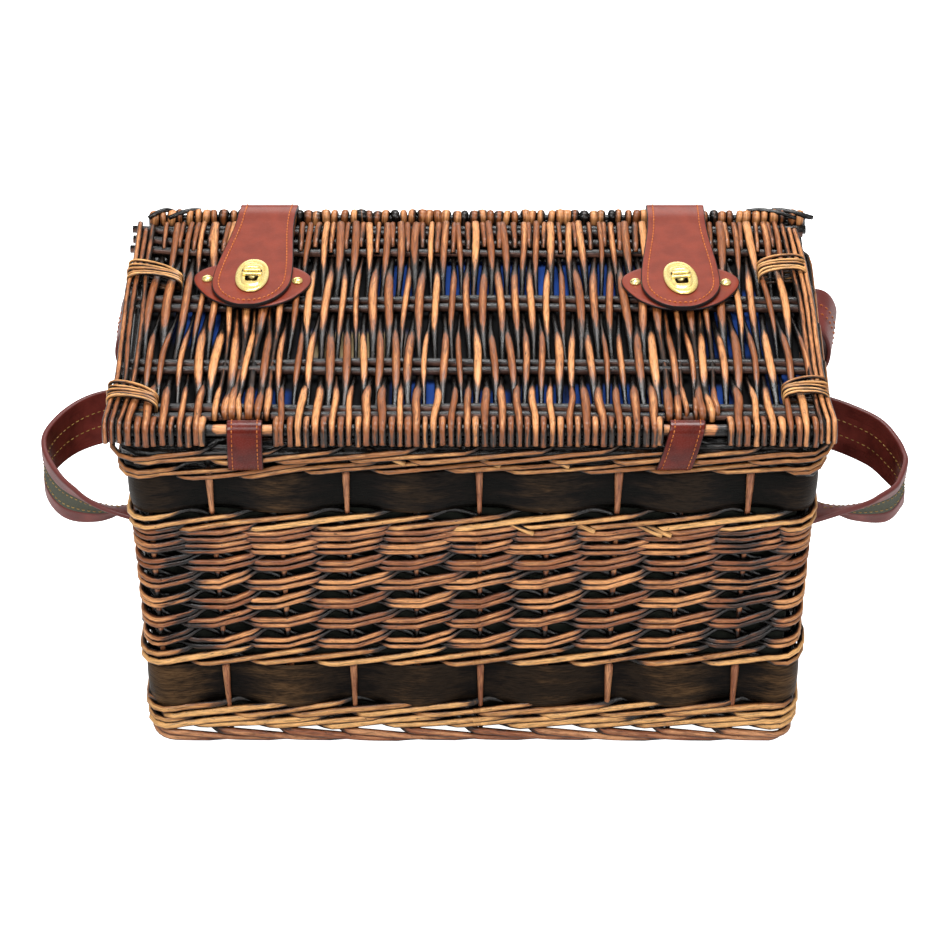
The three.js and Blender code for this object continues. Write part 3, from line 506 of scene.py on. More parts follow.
waleForm = {
    "steps": 8, "behind": -2.5, "slip": 0.12, "bow": 1.0, "flare": 2.4, "sag": 0.0, "toneDrop": 0.0,
    "flankStainAndShade": 1.0, "crest": 25,
}
wales = {
    # rounds of base height, climb and front offset; trimmed ends of x, height, offset and length;
    # hoops of radius, lean on the short sides and pairs of height and offset
    "bottom_wale": {
        "rounds": ((15.8, 9.0, 2.4), (25.4, 12.6, 2.8)), "rod": 2.5, "hoops": (3.6, 0.0, ((20.4, -3.8),)),
    },
    "lower_mid_wale": {"rounds": ((71.8, 15.0, 3.4),), "rod": 2.25},
    "upper_mid_wale": {
        "rounds": ((187.4, 14.4, 3.0),), "rod": 2.25,
        "trimmed": ((40, 186.6, 5.4, 20), (80, 188.2, 5.2, 16), (124, 185.0, 5.4, 22), (130, 184.6, 5.2, 22)),
    },
    "top_wale": {
        "rounds": ((236.2, 9.6, 4.8), (247.0, 10.2, 9.0)), "rod": 1.95,
        "flare": 3.6, "sag": 5.0, "toneDrop": 0.55, "flankStainAndShade": 1.2,
        "trimmed": ((-43, 245.5, 7.4, 24), (18, 244.0, 7.2, 26), (62, 243.0, 7.0, 22)),
        "hoops": (2.9, 8.5, (
            (233.5, -3.8), (239.0, -3.8), (244.5, -3.8), (250.0, -3.8), (254.6, -3.8), (253.6, 1.4), (252.4, 5.8),
        )),
    },
}


def waleRods(s):
    # three rods to a round; each goes before two stakes and behind the third, climbing to the right as it goes,
    # and stands out a little further on the short sides; the lowest round may sag to the left
    rounds = np.array(s["rounds"])
    turnOf, strand = (g.ravel() for g in np.meshgrid(np.arange(len(rounds)), np.arange(3), indexing="ij"))
    count, steps = len(strand), wall["stakes"] * s["steps"]
    turn = np.arange(steps) / s["steps"]
    slip = wander(count, steps, s["slip"], (3, 11))
    place = np.mod(turn[None] + slip - strand[:, None] - 0.5 * turnOf[:, None] + 0.75, 3) - 0.75
    hidden = np.maximum(ease(place, 1.3, 1.72), 1 - ease(place, -0.72, -0.32))
    base, climb, front = (rounds[turnOf, n][:, None] for n in range(3))
    out = front + (s["behind"] - front) * hidden + s["flare"] * shortSides(turn) * (1 - hidden)
    after = np.where(place < -0.5, place + 3, place)
    level = np.where(after <= 1.6, (after + 0.5) / 2.1, 1 - ease(after, 1.6, 2.5))
    sag = s["sag"] * (turnOf == 0)[:, None] * ease(-wallPoint(turn, wall["height"], 0)[:, 0], 90, 170)
    z = base + climb * level + wander(count, steps, s["bow"], (3, 12)) - sag
    # darker where it goes behind a stake: stain and painted shade
    raised = (1 - 0.95 * ease(place, 1.1, 1.6)) * ease(place, -0.7, -0.35)
    size = s["rod"] * drawn(0.86, 1.08, count) * (1 + wander(count, steps, 0.12, (4, 12)))
    # toneDrop makes every strand of a wale darker
    tone = chance.uniform(0.35, 1.0, count) - s["toneDrop"]
    paths = wallPoint(turn[None], z, out)
    return tubes(paths, size, 8, closed=True, raised=raised, tone=tone, flankStainAndShade=s["flankStainAndShade"], crest=s["crest"])


def trimmedRods(places):  # short slanted ends of rods, cut off on the outside of a wale, darker where they go in, as stain and painted shade
    x, z, out, length = columns(places)
    u = np.linspace(0, 1, 8)[None]
    turn = (x - length * (1 - u) - wall["firstStakeX"]) / stakePitch
    paths = wallPoint(turn, z + length * 0.42 * (1 - u), out - 4.5 * (1 - u) ** 1.5)
    return tubes(paths, 1.9, 8, raised=0.25 + 0.75 * u, tone=1.0)


def hoopRods(radius, lean, places):  # rods that run round behind a wale, a little wavy, further out at the ends, coloured dark as painted shade behind its strands
    steps = wall["stakes"] * 6
    turn = np.arange(steps) / 6
    height, offset = columns(places)
    z = height + wander(len(places), steps, 0.5, (9, 24))
    out = offset + lean * (offset < 0) * shortSides(turn)
    return tubes(wallPoint(turn[None], z, out), radius, 8, closed=True, raised=0.3, tone=0.3, flankStainAndShade=0.3, crest=180)


stakes = {
    "low": 11.0, "high": 251.0, "rod": 2.7, "thin": 1.75, "inset": -0.2, "before": 1.9, "back": 1.5,
    "chips": ((36.0, 70.0), (204.0, 234.0)),
}


def stakeRods(s):
    # upright rods at each turn; the even ones step out before the chips, the odd ones stay behind them;
    # they taper up each chip, and are rubbed there and in short stubs below each row of the randing
    z = np.linspace(s["low"], s["high"], 140)
    stake = np.arange(wall["stakes"])
    bandShare = sum(ease(z, low - 6, low + 1) * (1 - ease(z, high - 1, high + 6)) for low, high in s["chips"])
    even = (stake % 2 == 0)[:, None]
    out = s["inset"] + even * bandShare[None] * (s["before"] - s["inset"]) - (~even) * bandShare[None] * s["back"]
    lean = drawn(-0.05, 0.05, len(stake)) * (z / wall["height"])[None]
    paths = wallPoint(stake[:, None] + lean, z[None], out)
    taper = sum(ease(z, low, high + 1) * (z <= high + 1) for low, high in s["chips"])
    size = drawn(0.9, 1.1, len(stake)) * (s["thin"] + (s["rod"] - s["thin"]) * bandShare * taper)[None]
    below = np.array(randing["rows"])[:, None] - z
    stub = np.max(ease(below, 2, 4) * (1 - ease(below, 6.5, 9.5)), 0)
    tone = chance.uniform(0.1, 0.6, len(stake))
    return tubes(paths, size, 8, (0.3, 0.9, 0), raised=np.maximum(0.85 * bandShare, stub)[None], tone=tone, flankStainAndShade=0)


chips = {  # low, high, how far it is rubbed, lower for the upper band as painted shade under the lid
    "lower_chip_band": (35.0, 71.5, 0.62), "upper_chip_band": (203.0, 235.5, 0.31),
}
chipWeave = {"middle": 1.1, "swing": 3.1, "thick": 1.6, "bow": 0.8, "steps": 12, "thinEdge": 0.4}


def chipRing(low, high, rubbed, s):
    # a thin chip that goes behind even stakes, before odd ones: offset = middle - swing cos(pi turn), bowed in height
    turn = np.arange(wall["stakes"] * s["steps"])[:, None] / s["steps"]
    up = np.linspace(0, 1, 9)
    share = np.concatenate([up, up[::-1]])
    face = np.concatenate([np.ones(9), -np.ones(9)]) * s["thick"] / 2
    face[[0, 8, 9, 17]] *= s["thinEdge"]
    wave = np.cos(np.pi * turn)
    out = s["middle"] - s["swing"] * squaredOff(wave, 0.8) + face + s["bow"] * np.sin(np.pi * share)
    z = low + (high - low) * share
    grain = spots(turn * stakePitch + 7 * low, z * 0.6, out * 0)
    # darker where it goes behind a stake and lighter where it bulges out: wear and painted shade
    return solid(wallPoint(turn, z, out), True, grain, rubbed - 0.3 * wave, 0.35 + 0.25 * np.sin(0.9 * turn + low))


foot = {"span": 2.6, "top": 13.2, "bottom": 2.8, "rod": 2.9, "start": -0.45, "tuck": 9.0, "taper": 0.3}


def footRods(s):
    # one rod a stake: it leaves the wall, slopes down to the right and runs on along the floor under the next ones
    u = np.linspace(0, 1, 36)
    count = wall["stakes"]
    turn = np.arange(count)[:, None] + s["start"] + s["span"] * u[None] + drawn(-0.08, 0.08, count)
    slope = np.clip(1 - u / 0.8, 0, 1) ** 0.95
    z = s["bottom"] + (s["top"] - s["bottom"]) * slope[None] + s["tuck"] * (1 - ease(u, 0, 0.14)) + drawn(0, 0.6, count)
    out = -2.6 + 5.2 * ease(u, 0.0, 0.16) - 4.2 * ease(u, 0.55, 1)
    size = s["rod"] * (1 - s["taper"] * u)[None] * drawn(0.88, 1.08, count)
    # darker where it leaves the wall and along its run under the next ones: stain and painted shade
    raised = ease(u, 0.06, 0.2) * (1 - 0.5 * ease(u, 0.6, 1))
    paths = wallPoint(turn, np.maximum(z, size + 0.1), out[None])
    return tubes(paths, size, 10, raised=raised, tone=chance.uniform(0.1, 0.9, count), crest=30)


putPiece("randing_rods", randingRods(randing), "wallRod", "basket", ["randing_wall"])
for node, form in wales.items():
    parts = [waleRods({**waleForm, **form})]
    parts += [trimmedRods(form["trimmed"])] if "trimmed" in form else []
    parts += [hoopRods(*form["hoops"])] if "hoops" in form else []
    putPiece(node + "_rods", parts, "waleRod", "basket", [node])
putPiece("stakes", stakeRods(stakes), "footRod", "basket")
putPiece("foot_rods", footRods(foot), "footRod", "basket", ["foot_border"])
for node, places in chips.items():
    putPiece(node + "_chip", chipRing(*places, chipWeave), "chip", "basket", [node])
print("wall woven")


lining = {"outside": -5.3, "thick": 1.0, "low": 25.6, "high": 230.0, "slack": 0.5}


def liningRing(s):  # the cloth inside the wall, a thin ring with slight slack between the stakes
    turn = np.arange(wall["stakes"] * 6)[:, None] / 6
    share = np.concatenate([np.linspace(0, 1, 12), np.linspace(1, 0, 12)])
    face = np.concatenate([np.zeros(12), -np.full(12, s["thick"])])
    slack = -s["slack"] * (1 + np.cos(2 * np.pi * turn)) * np.sin(np.pi * share)
    z = s["low"] + (s["high"] - s["low"]) * share
    return solid(wallPoint(turn, z, s["outside"] + face + slack), True, spots(turn * stakePitch, z, 0 * slack))


wallCloth = putPiece("wall_cloth", liningRing(lining), "oliveCloth", "basket", ["wall_lining"])


# Lid

hinge = {"y": -119.0, "z": 269.5, "rod": 4.0, "half": 223.5}
lid = {
    "rods": 82, "halfWidth": 219.0, "far": 121.0, "overFar": 127.5, "mid": 271.85, "swing": 4.85, "steps": 58,
    "knots": (128.5, 102.0, 26.0, -49.5, -101.0, -119.0), "over": (-1.0, -1.0, 1.0, -1.0, 1.0, 0.92),
    "under": (0.72, 1.0, -1.0, 1.0, -1.0, 0.92), "bend": 4.4, "drop": 9.0, "past": 2.6,
    "fan": 4.5, "lean": 2.6, "wave": 1.1, "apart": 2.0, "wide": (2.05, 0.75), "tall": (1.75, 0.5), "nearWide": 2.6,
    "gaps": ((-166.3, -127.8), (120.7, 157.4)), "gapEnd": -104.0, "gapBend": 4.2, "gapDrop": 1.0,
    "shadeFill": {"rods": 84, "left": -229, "right": 227, "near": 84, "tall": 1.75, "wide": 2.7},
}


def lidLevel(y, levels, knots):  # eased steps between the levels at the cross rods, far to near
    q = np.interp(-y, -np.array(knots), np.arange(len(knots)))
    i = np.clip(q.astype(int), 0, len(knots) - 2)
    f = ease(q - i, 0, 1)
    return np.array(levels)[i] * (1 - f) + np.array(levels)[i + 1] * f


def bentDown(y, z, bend, falls):  # carries rods on from their near ends: a quarter turn, then straight down by falls
    angle = np.linspace(np.pi / 2, np.pi, 9)[1:]
    endY, middleZ = y[:, -1:], z[:, -1:] - bend
    return (np.concatenate([y, endY + bend * np.cos(angle), endY - bend + 0 * falls], 1),
            np.concatenate([z, middleZ + bend * np.sin(angle), middleZ - falls], 1))


def lidRods(s):
    # rods from far to near, over and under the cross rods in turn, round the front rod and cut off below it;
    # those in a gap end before the front rod, and those beside a gap lean away from it
    count, k = s["rods"], np.arange(s["rods"])
    x = -s["halfWidth"] + (k + 0.5) * (2 * s["halfWidth"] / count) + chance.uniform(-0.45, 0.45, count)
    even = (k % 2 == 0)[:, None]
    inGap = np.any([(x > low) & (x < high) for low, high in s["gaps"]], axis=0)[:, None]
    far = np.where(even, s["overFar"], s["far"] + drawn(-1.8, 1.5, count))
    endY = np.where(inGap, s["gapEnd"] + drawn(-2, 2, count), hinge["y"] - s["past"])
    y = far + (endY - far) * np.linspace(0, 1, s["steps"])[None]
    level = np.where(even, lidLevel(y, s["over"], s["knots"]), lidLevel(y, s["under"], s["knots"]))
    level = np.where(inGap, np.maximum(level, ease(-y, 80, 100) * 0.85), level)
    bend = np.where(inGap, s["gapBend"], s["bend"])
    drop = np.where(inGap, s["gapDrop"], s["drop"] + drawn(-1.0, 0.8, count))
    y, z = bentDown(y, s["mid"] + s["swing"] * level, bend, drop * np.linspace(0, 1, 4)[None, 1:])
    added = y.shape[1] - s["steps"]
    level = np.pad(level, ((0, 0), (0, added)), constant_values=1.0)
    settled = 1 - ease(-y, 90, 118)
    wave = s["wave"] * np.sin(2 * np.pi * (y / 150 + drawn(0, 1, count))) * settled
    spread = s["fan"] * x[:, None] / s["halfWidth"] + s["lean"] * drawn(-1, 1, count) * settled
    beside = sum(1.0 * ((x > high) & (x < high + 5)) - ((x < low) & (x > low - 5)) for low, high in s["gaps"])[:, None]
    drift = spread * (y / hinge["y"]) + wave + s["apart"] * beside * ease(-y, 96, 116)
    size = drawn(0.7, 1.2, count)
    wide = size * (s["wide"][0] + s["wide"][1] * ease(level, -0.7, 0.45))
    wide = wide + (s["nearWide"] * size ** 0.5 - wide) * ease(-y, 104, 114)
    tall = s["tall"][0] + s["tall"][1] * ease(level, -0.6, 0.5)
    # colour: dark in the dips under the cross rods as stain and painted shade, paler over the bulges as a painted
    # highlight, darker round the bend and down the drop as painted shade
    rest = drawn(0.0, 0.24, count)
    dropShade = np.concatenate([np.zeros(s["steps"] - 1), np.linspace(0, 1, 9), [1, 1, 0.6]])[None]
    near = ease(-y, 108, 120) * np.where(even, drawn(0.0, 0.12, count), drawn(0.0, 0.4, count))
    raised = (rest + (1.22 - rest) * ease(level, -0.5, 1.0)) * (1 - near) * (1 - 0.4 * dropShade)
    tone = chance.uniform(-0.5, 1.0, count)
    main = tubes(spots(x[:, None] + drift, y, z), tall, 10, (1, 0, 0), raised=raised, tone=tone, flankStainAndShade=1.05,
                 upwards=wide)
    return [main, lidTips(x[::2], s), lidShadeFill(s, s["shadeFill"])]


def lidTips(x, s):  # short rods laid in from the far edge beside every other rod, their ends tucked under and darker towards them, as stain and painted shade
    v = np.linspace(0, 1, 14)[None]
    y = s["far"] + 0.5 - drawn(27, 35, len(x)) * v
    z = s["mid"] + 4.4 - 3.4 * ease(v, 0.82, 1.0) - 1.2 * (1 - ease(v, 0, 0.2))
    fanned = x[:, None] * (1 + s["fan"] / s["halfWidth"] * y / hinge["y"]) + 2.0 * (v - 0.5) * drawn(-1, 1, len(x))
    wide = drawn(1.8, 2.5, len(x))
    tone = chance.uniform(-0.3, 0.7, len(x))
    return tubes(spots(fanned, y, z), 2.1, 8, (1, 0, 0), raised=0.9 - 0.3 * v, tone=tone, upwards=wide)


def lidShadeFill(s, b):  # rods below the far edge of the lid, coloured near black as painted shade in the gaps there
    x = np.linspace(b["left"], b["right"], b["rods"])[:, None]
    paths = spots(x, np.linspace(s["overFar"], b["near"], 8), s["mid"] - s["swing"])
    return tubes(paths, b["tall"], 6, (1, 0, 0), raised=0.1, tone=0.2, upwards=b["wide"])


crossRods = {
    "places": (115.0, 102.0, 90.0, 31.0, 21.0, -45.0, -54.0, -97.0, -105.5), "right": 231.0, "rod": 2.85, "z": 271.5,
    "left": (-236.6, -235.2, -236.4, -232, -231, -230, -231, -232, -233), "farThree": 6.0,
}


def crossRod(s, number):  # a dark rod across the lid, a little wavy; the far three bend away at the left end
    t = np.linspace(-1, 1, 90)
    phase = chance.uniform(0, 6.28, 2)
    left, right = s["left"][number], s["right"] - chance.uniform(0, 4)
    y = s["places"][number] + 0.7 * np.sin(5 * t + phase[0]) + (s["farThree"] * ease(-t, 0.8, 1) if number < 3 else 0)
    z = s["z"] + 0.35 * np.sin(9 * t + phase[1])
    path = spots((left + right) / 2 + (right - left) / 2 * t, y, z)[None]
    size = s["rod"] * (1 + 0.06 * np.sin(7 * t + phase[0]))[None]
    return tubes(path, size, 10, raised=0.8, tone=chance.uniform(0.1, 0.9, 1))


def frontRod(s, gaps):  # the straight rod that the lid turns on, its stain rubbed off in the gaps
    x = np.linspace(-s["half"], s["half"], 220)
    bare = sum(ease(x, low - 2, low + 1) * (1 - ease(x, high - 1, high + 2)) for low, high in gaps)
    return tubes(spots(x, s["y"], s["z"])[None], s["rod"], 16, raised=bare[None], tone=0.75, crest=60)


rail = {
    "y": 133.9, "z": 273.8, "ring": 2.75, "rod": 2.2, "left": -226.0, "right": 233.0, "beads": 76,
    "cores": ((0, 1.0, 2.2), (0, 6.0, 2.2), (7.4, 6.4, 3.2)),  # how far before and below the rail, radius
    "knots": (  # start, end, turn
        (236.0, 200.0, 3.6), (238.0, 210.0, 2.4), (226.0, 192.0, 2.9), (-226.0, -208.0, 3.2), (-212.0, -190.0, 2.6),
    ),
}


def railBeads(s):
    # short rods wrapped over the far rail: up its near side, half round its top and down behind, darker low down as
    # painted shade;
    # dark cores run inside it and before it, coloured near black as painted shade, and a few knots are wound on at its
    # ends
    count = s["beads"]
    x = np.linspace(s["left"] + 4, s["right"] - 4, count)[:, None]
    angle = np.radians(np.linspace(180, 0, 12))
    y = np.concatenate([np.full(4, -s["ring"]), s["ring"] * np.cos(angle), np.full(3, s["ring"])]) + s["y"]
    z = np.concatenate([np.linspace(-9.5, -1.2, 4), s["ring"] * np.sin(angle), np.linspace(-1.5, -6, 3)]) + s["z"]
    lean = drawn(-1.2, 1.2, count) + drawn(-2.2, 2.2, count) * np.linspace(-0.5, 0.5, len(y))
    paths = spots(x + lean, y, z + drawn(-1.0, 0.8, count))
    wide = drawn(2.4, 3.8, count)
    raised = ease(z, 267.5, 271.5) * chance.choice([1.0, 0.7, 0.3], (count, 1), p=[0.7, 0.2, 0.1])
    tone = chance.uniform(0.0, 1.1, count)
    beads = tubes(paths, s["rod"], 8, (1, 0, 0), raised=raised, tone=tone, flankStainAndShade=0.9, crest=180, upwards=wide)
    t = np.linspace(s["left"], s["right"], 60)
    before, below, radius = columns(s["cores"])
    cores = tubes(spots(t, s["y"] - before, s["z"] - below + 0.3 * np.sin(t / 30)), radius, 8, raised=0.1, tone=0.2)
    u = np.linspace(0, 1, 16)
    start, end, turn = columns(s["knots"])
    wound = spots(start + (end - start) * u, s["y"] - 3.6 * np.cos(turn * u), s["z"] + 1.2 + 3.4 * np.sin(turn * u))
    return [beads, cores, tubes(wound, 1.7, 8, (0, 0.1, 1), raised=0.35, tone=0.3)]


sideRods = {
    # rods from the outside in, each from far to near: (y, x), then height, radius and how far the stain is rubbed off
    "left": (
        (
            ((119, -230.8), (62, -231.0), (40, -233.2), (-14, -232.6), (-74, -232.0), (-98, -234.0), (-119, -236.0)),
            277.2, 1.9, 0.8,
        ),
        (
            ((112, -226.4), (62, -227.2), (40, -228.4), (-14, -228.6), (-74, -226.6), (-98, -229.4), (-119, -231.6)),
            276.6, 2.0, 0.7,
        ),
        (
            ((118, -222.4), (62, -222.4), (40, -222.0), (-14, -221.0), (-74, -221.4), (-98, -224.0), (-119, -227.0)),
            275.6, 2.2, 0.6,
        ),
    ),
    "right": (
        (
            ((110, 223.4), (72, 226.6), (40, 227.8), (10, 228.6), (-61, 228.6), (-98, 230.6), (-119, 233.0)),
            277.2, 1.9, 0.95,
        ),
        (
            ((112, 219.8), (72, 222.6), (40, 224.6), (10, 225.2), (-61, 225.0), (-98, 226.8), (-119, 229.0)),
            276.8, 1.9, 0.9,
        ),
        (
            ((118, 215.4), (72, 218.0), (40, 220.2), (10, 221.4), (-61, 221.6), (-98, 223.0), (-119, 224.8)),
            276.0, 2.1, 0.6,
        ),
    ),
    "bendLow": 270.6, "falls": ((3.0, 6.2),),
}


def sideBundle(rows, s):
    # rods along a side of the lid on soft curves through their places, bent down round the front rod
    lines = np.stack([smoothPath([(x, y, 0) for y, x in row[0]], 50) for row in rows])
    high, radius, rubbed = columns(row[1:] for row in rows)
    x, y = lines[..., 0], lines[..., 1]
    z = high + 0.4 * np.sin(y / 18 + high)
    y, z = bentDown(y, z, high - s["bendLow"], np.array(s["falls"]))
    x = np.pad(x, ((0, 0), (0, y.shape[1] - x.shape[1])), "edge")
    tone = chance.uniform(0.2, 0.9, len(rows))
    return tubes(spots(x, y, z), radius, 10, (1, 0, 0), raised=rubbed, tone=tone, flankStainAndShade=1.0)


lowRods = {
    "far": 122, "near": -112,
    "rods": (  # x, z, radius, how far rubbed
        (226.5, 261.65, 3.2, 0.7), (224.8, 269.6, 3.0, 0.3), (220.6, 266.2, 2.2, 0.1),
    ),
}


def sideLowRods(side, s):  # straight, slightly wavy rods below a side of the lid
    y = np.linspace(s["near"], s["far"], 30)
    x, z, radius, rubbed = columns(s["rods"])
    return tubes(spots(side * (x + 0.5 * np.sin(y / 25)), y, z), radius, 10, (1, 0, 0), raised=rubbed, tone=0.4)


bindings = {
    # inner x, outer x, then depth of the far and the near strand at the inner and at the outer end
    "binding_left_far": (-198.0, -234.2, (51.0, 42.5), (66.0, 48.5)),
    "binding_left_near": (-204.6, -236.2, (-92.5, -103.5), (-80.5, -96.0)),
    "binding_right_far": (195.6, 226.8, (66.0, 50.0), (70.5, 55.0)),
    "binding_right_near": (202.6, 230.8, (-82.0, -94.0), (-77.0, -95.0)),
}
bindingForm = {"low": 270.8, "high": 281.6, "strands": 5, "rod": 1.3, "arch": 3.0, "square": 0.55}


def bindingStrands(inner, outer, innerY, outerY, s):
    # thin strands wound round the side rods: flattened loops x = middle + half cos(a), z likewise, squared off;
    # each runs from its place at the inner end to its place at the outer end
    a = np.linspace(0, 2 * np.pi, 64, endpoint=False)[None]
    strand = np.arange(s["strands"])[:, None] / (s["strands"] - 1)
    x = (inner + outer) / 2 + (outer - inner) / 2 * squaredOff(np.cos(a), s["square"]) + 0.4 * np.sin(9 * strand)
    halfHigh = (s["high"] - s["low"]) / 2 - 0.5 * (np.round(4 * strand) % 2)
    z = (s["low"] + s["high"]) / 2 + halfHigh * squaredOff(np.sin(a), s["square"])
    share = np.clip((x - inner) / (outer - inner), 0, 1)
    atInner, atOuter = (far + (near - far) * strand for far, near in (innerY, outerY))
    y = atInner * (1 - share) + atOuter * share
    y = y + s["arch"] * np.sin(np.pi * share) * (1 - 0.6 * strand) + 0.8 * np.sin(2 * a + 5 * strand)
    size = s["rod"] * drawn(0.85, 1.12, s["strands"])
    tone = chance.uniform(0.4, 1, s["strands"])
    return tubes(spots(x, y, z), size, 6, (0, 1, 0), True, 0.95, tone, crest=90 + 90 * np.sign(outer))


putPiece("lid_rods", lidRods(lid), "lidRod", "lid", ["lid_panel"])
for number in range(9):
    piece, node = f"cross_rod_{number + 1}", f"lid_cross_rod_{number + 1}"
    putPiece(piece, crossRod(crossRods, number), "crossRod", "lid", [node])
putPiece("front_rod", frontRod(hinge, lid["gaps"]), "lidRod", "lid", ["lid_front_rod"])
putPiece("far_rail_beads", railBeads(rail), "lidRod", "lid", ["lid_far_rail"])
for word, side in (("left", -1), ("right", 1)):
    bundle = sideBundle(sideRods[word], sideRods)
    putPiece(f"side_bundle_rods_{word}", bundle, "lidRod", "lid", [f"side_bundle_{word}"])
    putPiece(f"side_low_rod_{word}", sideLowRods(side, lowRods), "lidRod", "lid", [f"side_rod_{word}"])
for node, places in bindings.items():
    putPiece(node + "_strands", bindingStrands(*places, bindingForm), "waleRod", "lid", [node])
print("lid woven")


lidCloth = {
    "half": 218.0, "near": -92.0, "far": 125.0, "top": 265.2, "thick": 1.0, "ripple": 0.35,
    # zones of the upper face that are not painted dark as shade: middle x, half width, middle y, half depth
    "tan": ((-77, 34, -14, 17),),
    "unshaded": (
        (-182, 16, 12, 24), (-52, 12, 66, 22), (-10, 14, 64, 22), (12, 16, 66, 22), (52, 24, 62, 24), (92, 12, 64, 22),
        (128, 16, 74, 20), (178, 16, 30, 20), (176, 20, -8, 20), (-140, 20, -82, 14),
        (-36, 16, -74, 16), (10, 14, -80, 12),
        (46, 14, -78, 16), (88, 24, -78, 16), (112, 14, -80, 16), (205, 10, -60, 22), (160, 10, -76, 14),
    ),
}


def softZones(x, y, places):  # 1 inside any of the oblong zones, easing to 0 round them
    zones = [(1 - ease(np.abs(x - midX), 0.75 * halfX, 1.2 * halfX))
             * (1 - ease(np.abs(y - midY), 0.75 * halfY, 1.2 * halfY))
             for midX, halfX, midY, halfY in places]
    return np.max(zones, axis=0)


def clothPanel(s):
    # a flat thin panel with slight ripples, its rings from near to far; blue below, painted dark as shade above apart
    # from soft zones
    y = np.linspace(s["near"], s["far"], 80)[:, None]
    x = np.linspace(-s["half"], s["half"], 140)
    across = np.concatenate([x, x[::-1]])[None]
    face = np.concatenate([np.zeros(140), -np.full(140, s["thick"])])[None]
    ripple = -s["ripple"] * (1 + np.sin(across / 17 + np.sin(y / 23)))
    tan, unshaded = (softZones(across, y, s[key]) for key in ("tan", "unshaded"))
    above = face == 0
    rings = spots(across, y, s["top"] + face + ripple)
    return solid(rings, tone=np.where(above, np.maximum(tan, unshaded), 1), edge=np.where(above, tan, 0))


blueSheet = putPiece("lid_cloth", clothPanel(lidCloth), "blueCloth", "lid", ["lid_lining"])


# Leather

def stitches(line, normal, pitch=3.6, length=2.5, radius=0.42):
    # short rounded threads laid end to end along a line on a surface, each one bowed along the normal
    gone = walked(line)
    start = np.arange(pitch / 2, gone[-1] - length, pitch)[:, None]
    u = np.linspace(0, 1, 6)[None]
    place = start + length * u
    at, up = (np.stack([np.interp(place, gone, values[:, k]) for k in range(3)], -1) for values in (line, normal))
    lift = radius * (2.2 * np.sin(np.pi * u) ** 0.6 - 1.2)
    size = radius * (0.35 + 0.65 * np.sin(np.pi * np.clip(u, 0.04, 0.96)) ** 0.5)
    return tubes(at + unit(up) * lift[..., None], size, 6, (0.13, 0.21, 0.97))


closures = {
    # middle of the lock, where the strap meets the rail, turn of the lock and tilt of the patch
    "left": {"x": -149.0, "y": 40.0, "railX": -141.6, "turn": -3.0, "tilt": -2.5},
    "right": {"x": 141.0, "y": 37.0, "railX": 141.6, "turn": 7.0, "tilt": -0.6},
}
strapForm = {
    "tip": 34.0, "round": 31.0, "widest": 26.8, "narrow": 20.2, "narrowAt": 112.0, "thick": 3.0, "bottom": 281.6,
    "inset": 4.6, "bend": 6.7, "rim": (128.5, 9.0), "tailLow": 214.0,
}


def closureStrap(c, s):
    # flat strap: half width an ellipse at the round end, then easing narrower; its line goes over the far rail and
    # hangs down behind, clear of the rim; stitches follow its edge
    top, bend = s["bottom"] + s["thick"] / 2, s["bend"]
    angle = np.radians(np.linspace(96, -28, 12))
    tailY = hinge["y"] + np.hypot(s["rim"][0] - hinge["y"], s["rim"][1]) + s["thick"] / 2
    y = np.concatenate([[c["y"] - s["tip"]], c["y"] + np.array([-20, 0, 25, 50, 70, 82]),
                        rail["y"] + bend * np.cos(angle), tailY + np.array([3.4, 0.4, 0, 0])])
    z = np.concatenate([np.full(6, top), [top + 0.1], rail["z"] + bend * np.sin(angle),
                        [262.0, 250.0, 232.0, s["tailLow"]]])
    path = smoothPath(spots(0, y, z), 220)
    gone = walked(path)
    tip = s["round"] * (1 - np.cos(np.linspace(0.02, np.pi / 2, 40)))
    dense = np.concatenate([tip, np.linspace(s["round"] + 0.5, gone[-1], 200)])
    path = np.stack([np.interp(dense, gone, path[:, k]) for k in range(3)], -1)
    slant = (c["railX"] - c["x"]) / (rail["y"] - c["y"])
    path[:, 0] = c["x"] + slant * np.clip(path[:, 1] - c["y"], -40, rail["y"] - c["y"])
    inRound = dense < s["round"]
    arc = lambda reach: np.sqrt(np.clip(1 - ((s["round"] - dense) / reach) ** 2, 0, 1))
    straight = s["narrow"] + (s["widest"] - s["narrow"]) * (1 - ease(dense, s["round"], s["narrowAt"]))
    half = np.maximum(np.where(inRound, s["widest"] * arc(s["round"]), straight), 1.0)
    across = np.broadcast_to([1.0, 0, 0], path.shape)
    normal = unit(np.cross(across, unit(np.gradient(path, axis=0))))
    normal = normal * np.sign(normal[60, 2])
    strap = band(path, across, normal, half, s["thick"], 16)
    strap["edge"] = np.where(strap["grain"][:, 0] < 0.6, 1.0, strap["edge"])
    shown = (dense > s["inset"]) & (dense < gone[-1] - 4)
    inner = (s["widest"] - s["inset"]) * arc(s["round"] - s["inset"])
    offset = np.where(inRound, inner, np.maximum(half - s["inset"], 0))[shown][:, None] * across[shown]
    surface, up = (path + normal * (s["thick"] / 2))[shown], normal[shown]
    line = np.concatenate([(surface - offset)[::-1], surface + offset])
    return strap, stitches(line, np.concatenate([up[::-1], up]))


def turned(points, degrees, x, y):  # turns rings about an upright line
    c, s = np.cos(np.radians(degrees)), np.sin(np.radians(degrees))
    flatX, flatY = points[..., 0] - x, points[..., 1] - y
    return np.stack([c * flatX - s * flatY + x, s * flatX + c * flatY + y, points[..., 2]], -1)


def flatForm(outline, profile, x, y, bottom):
    # rings of an outline scaled by share at each height, from the under side over the edge to the top
    share, height = columns(profile)
    return spots(outline[:, 0] * share + x, outline[:, 1] * share + y, bottom + height)


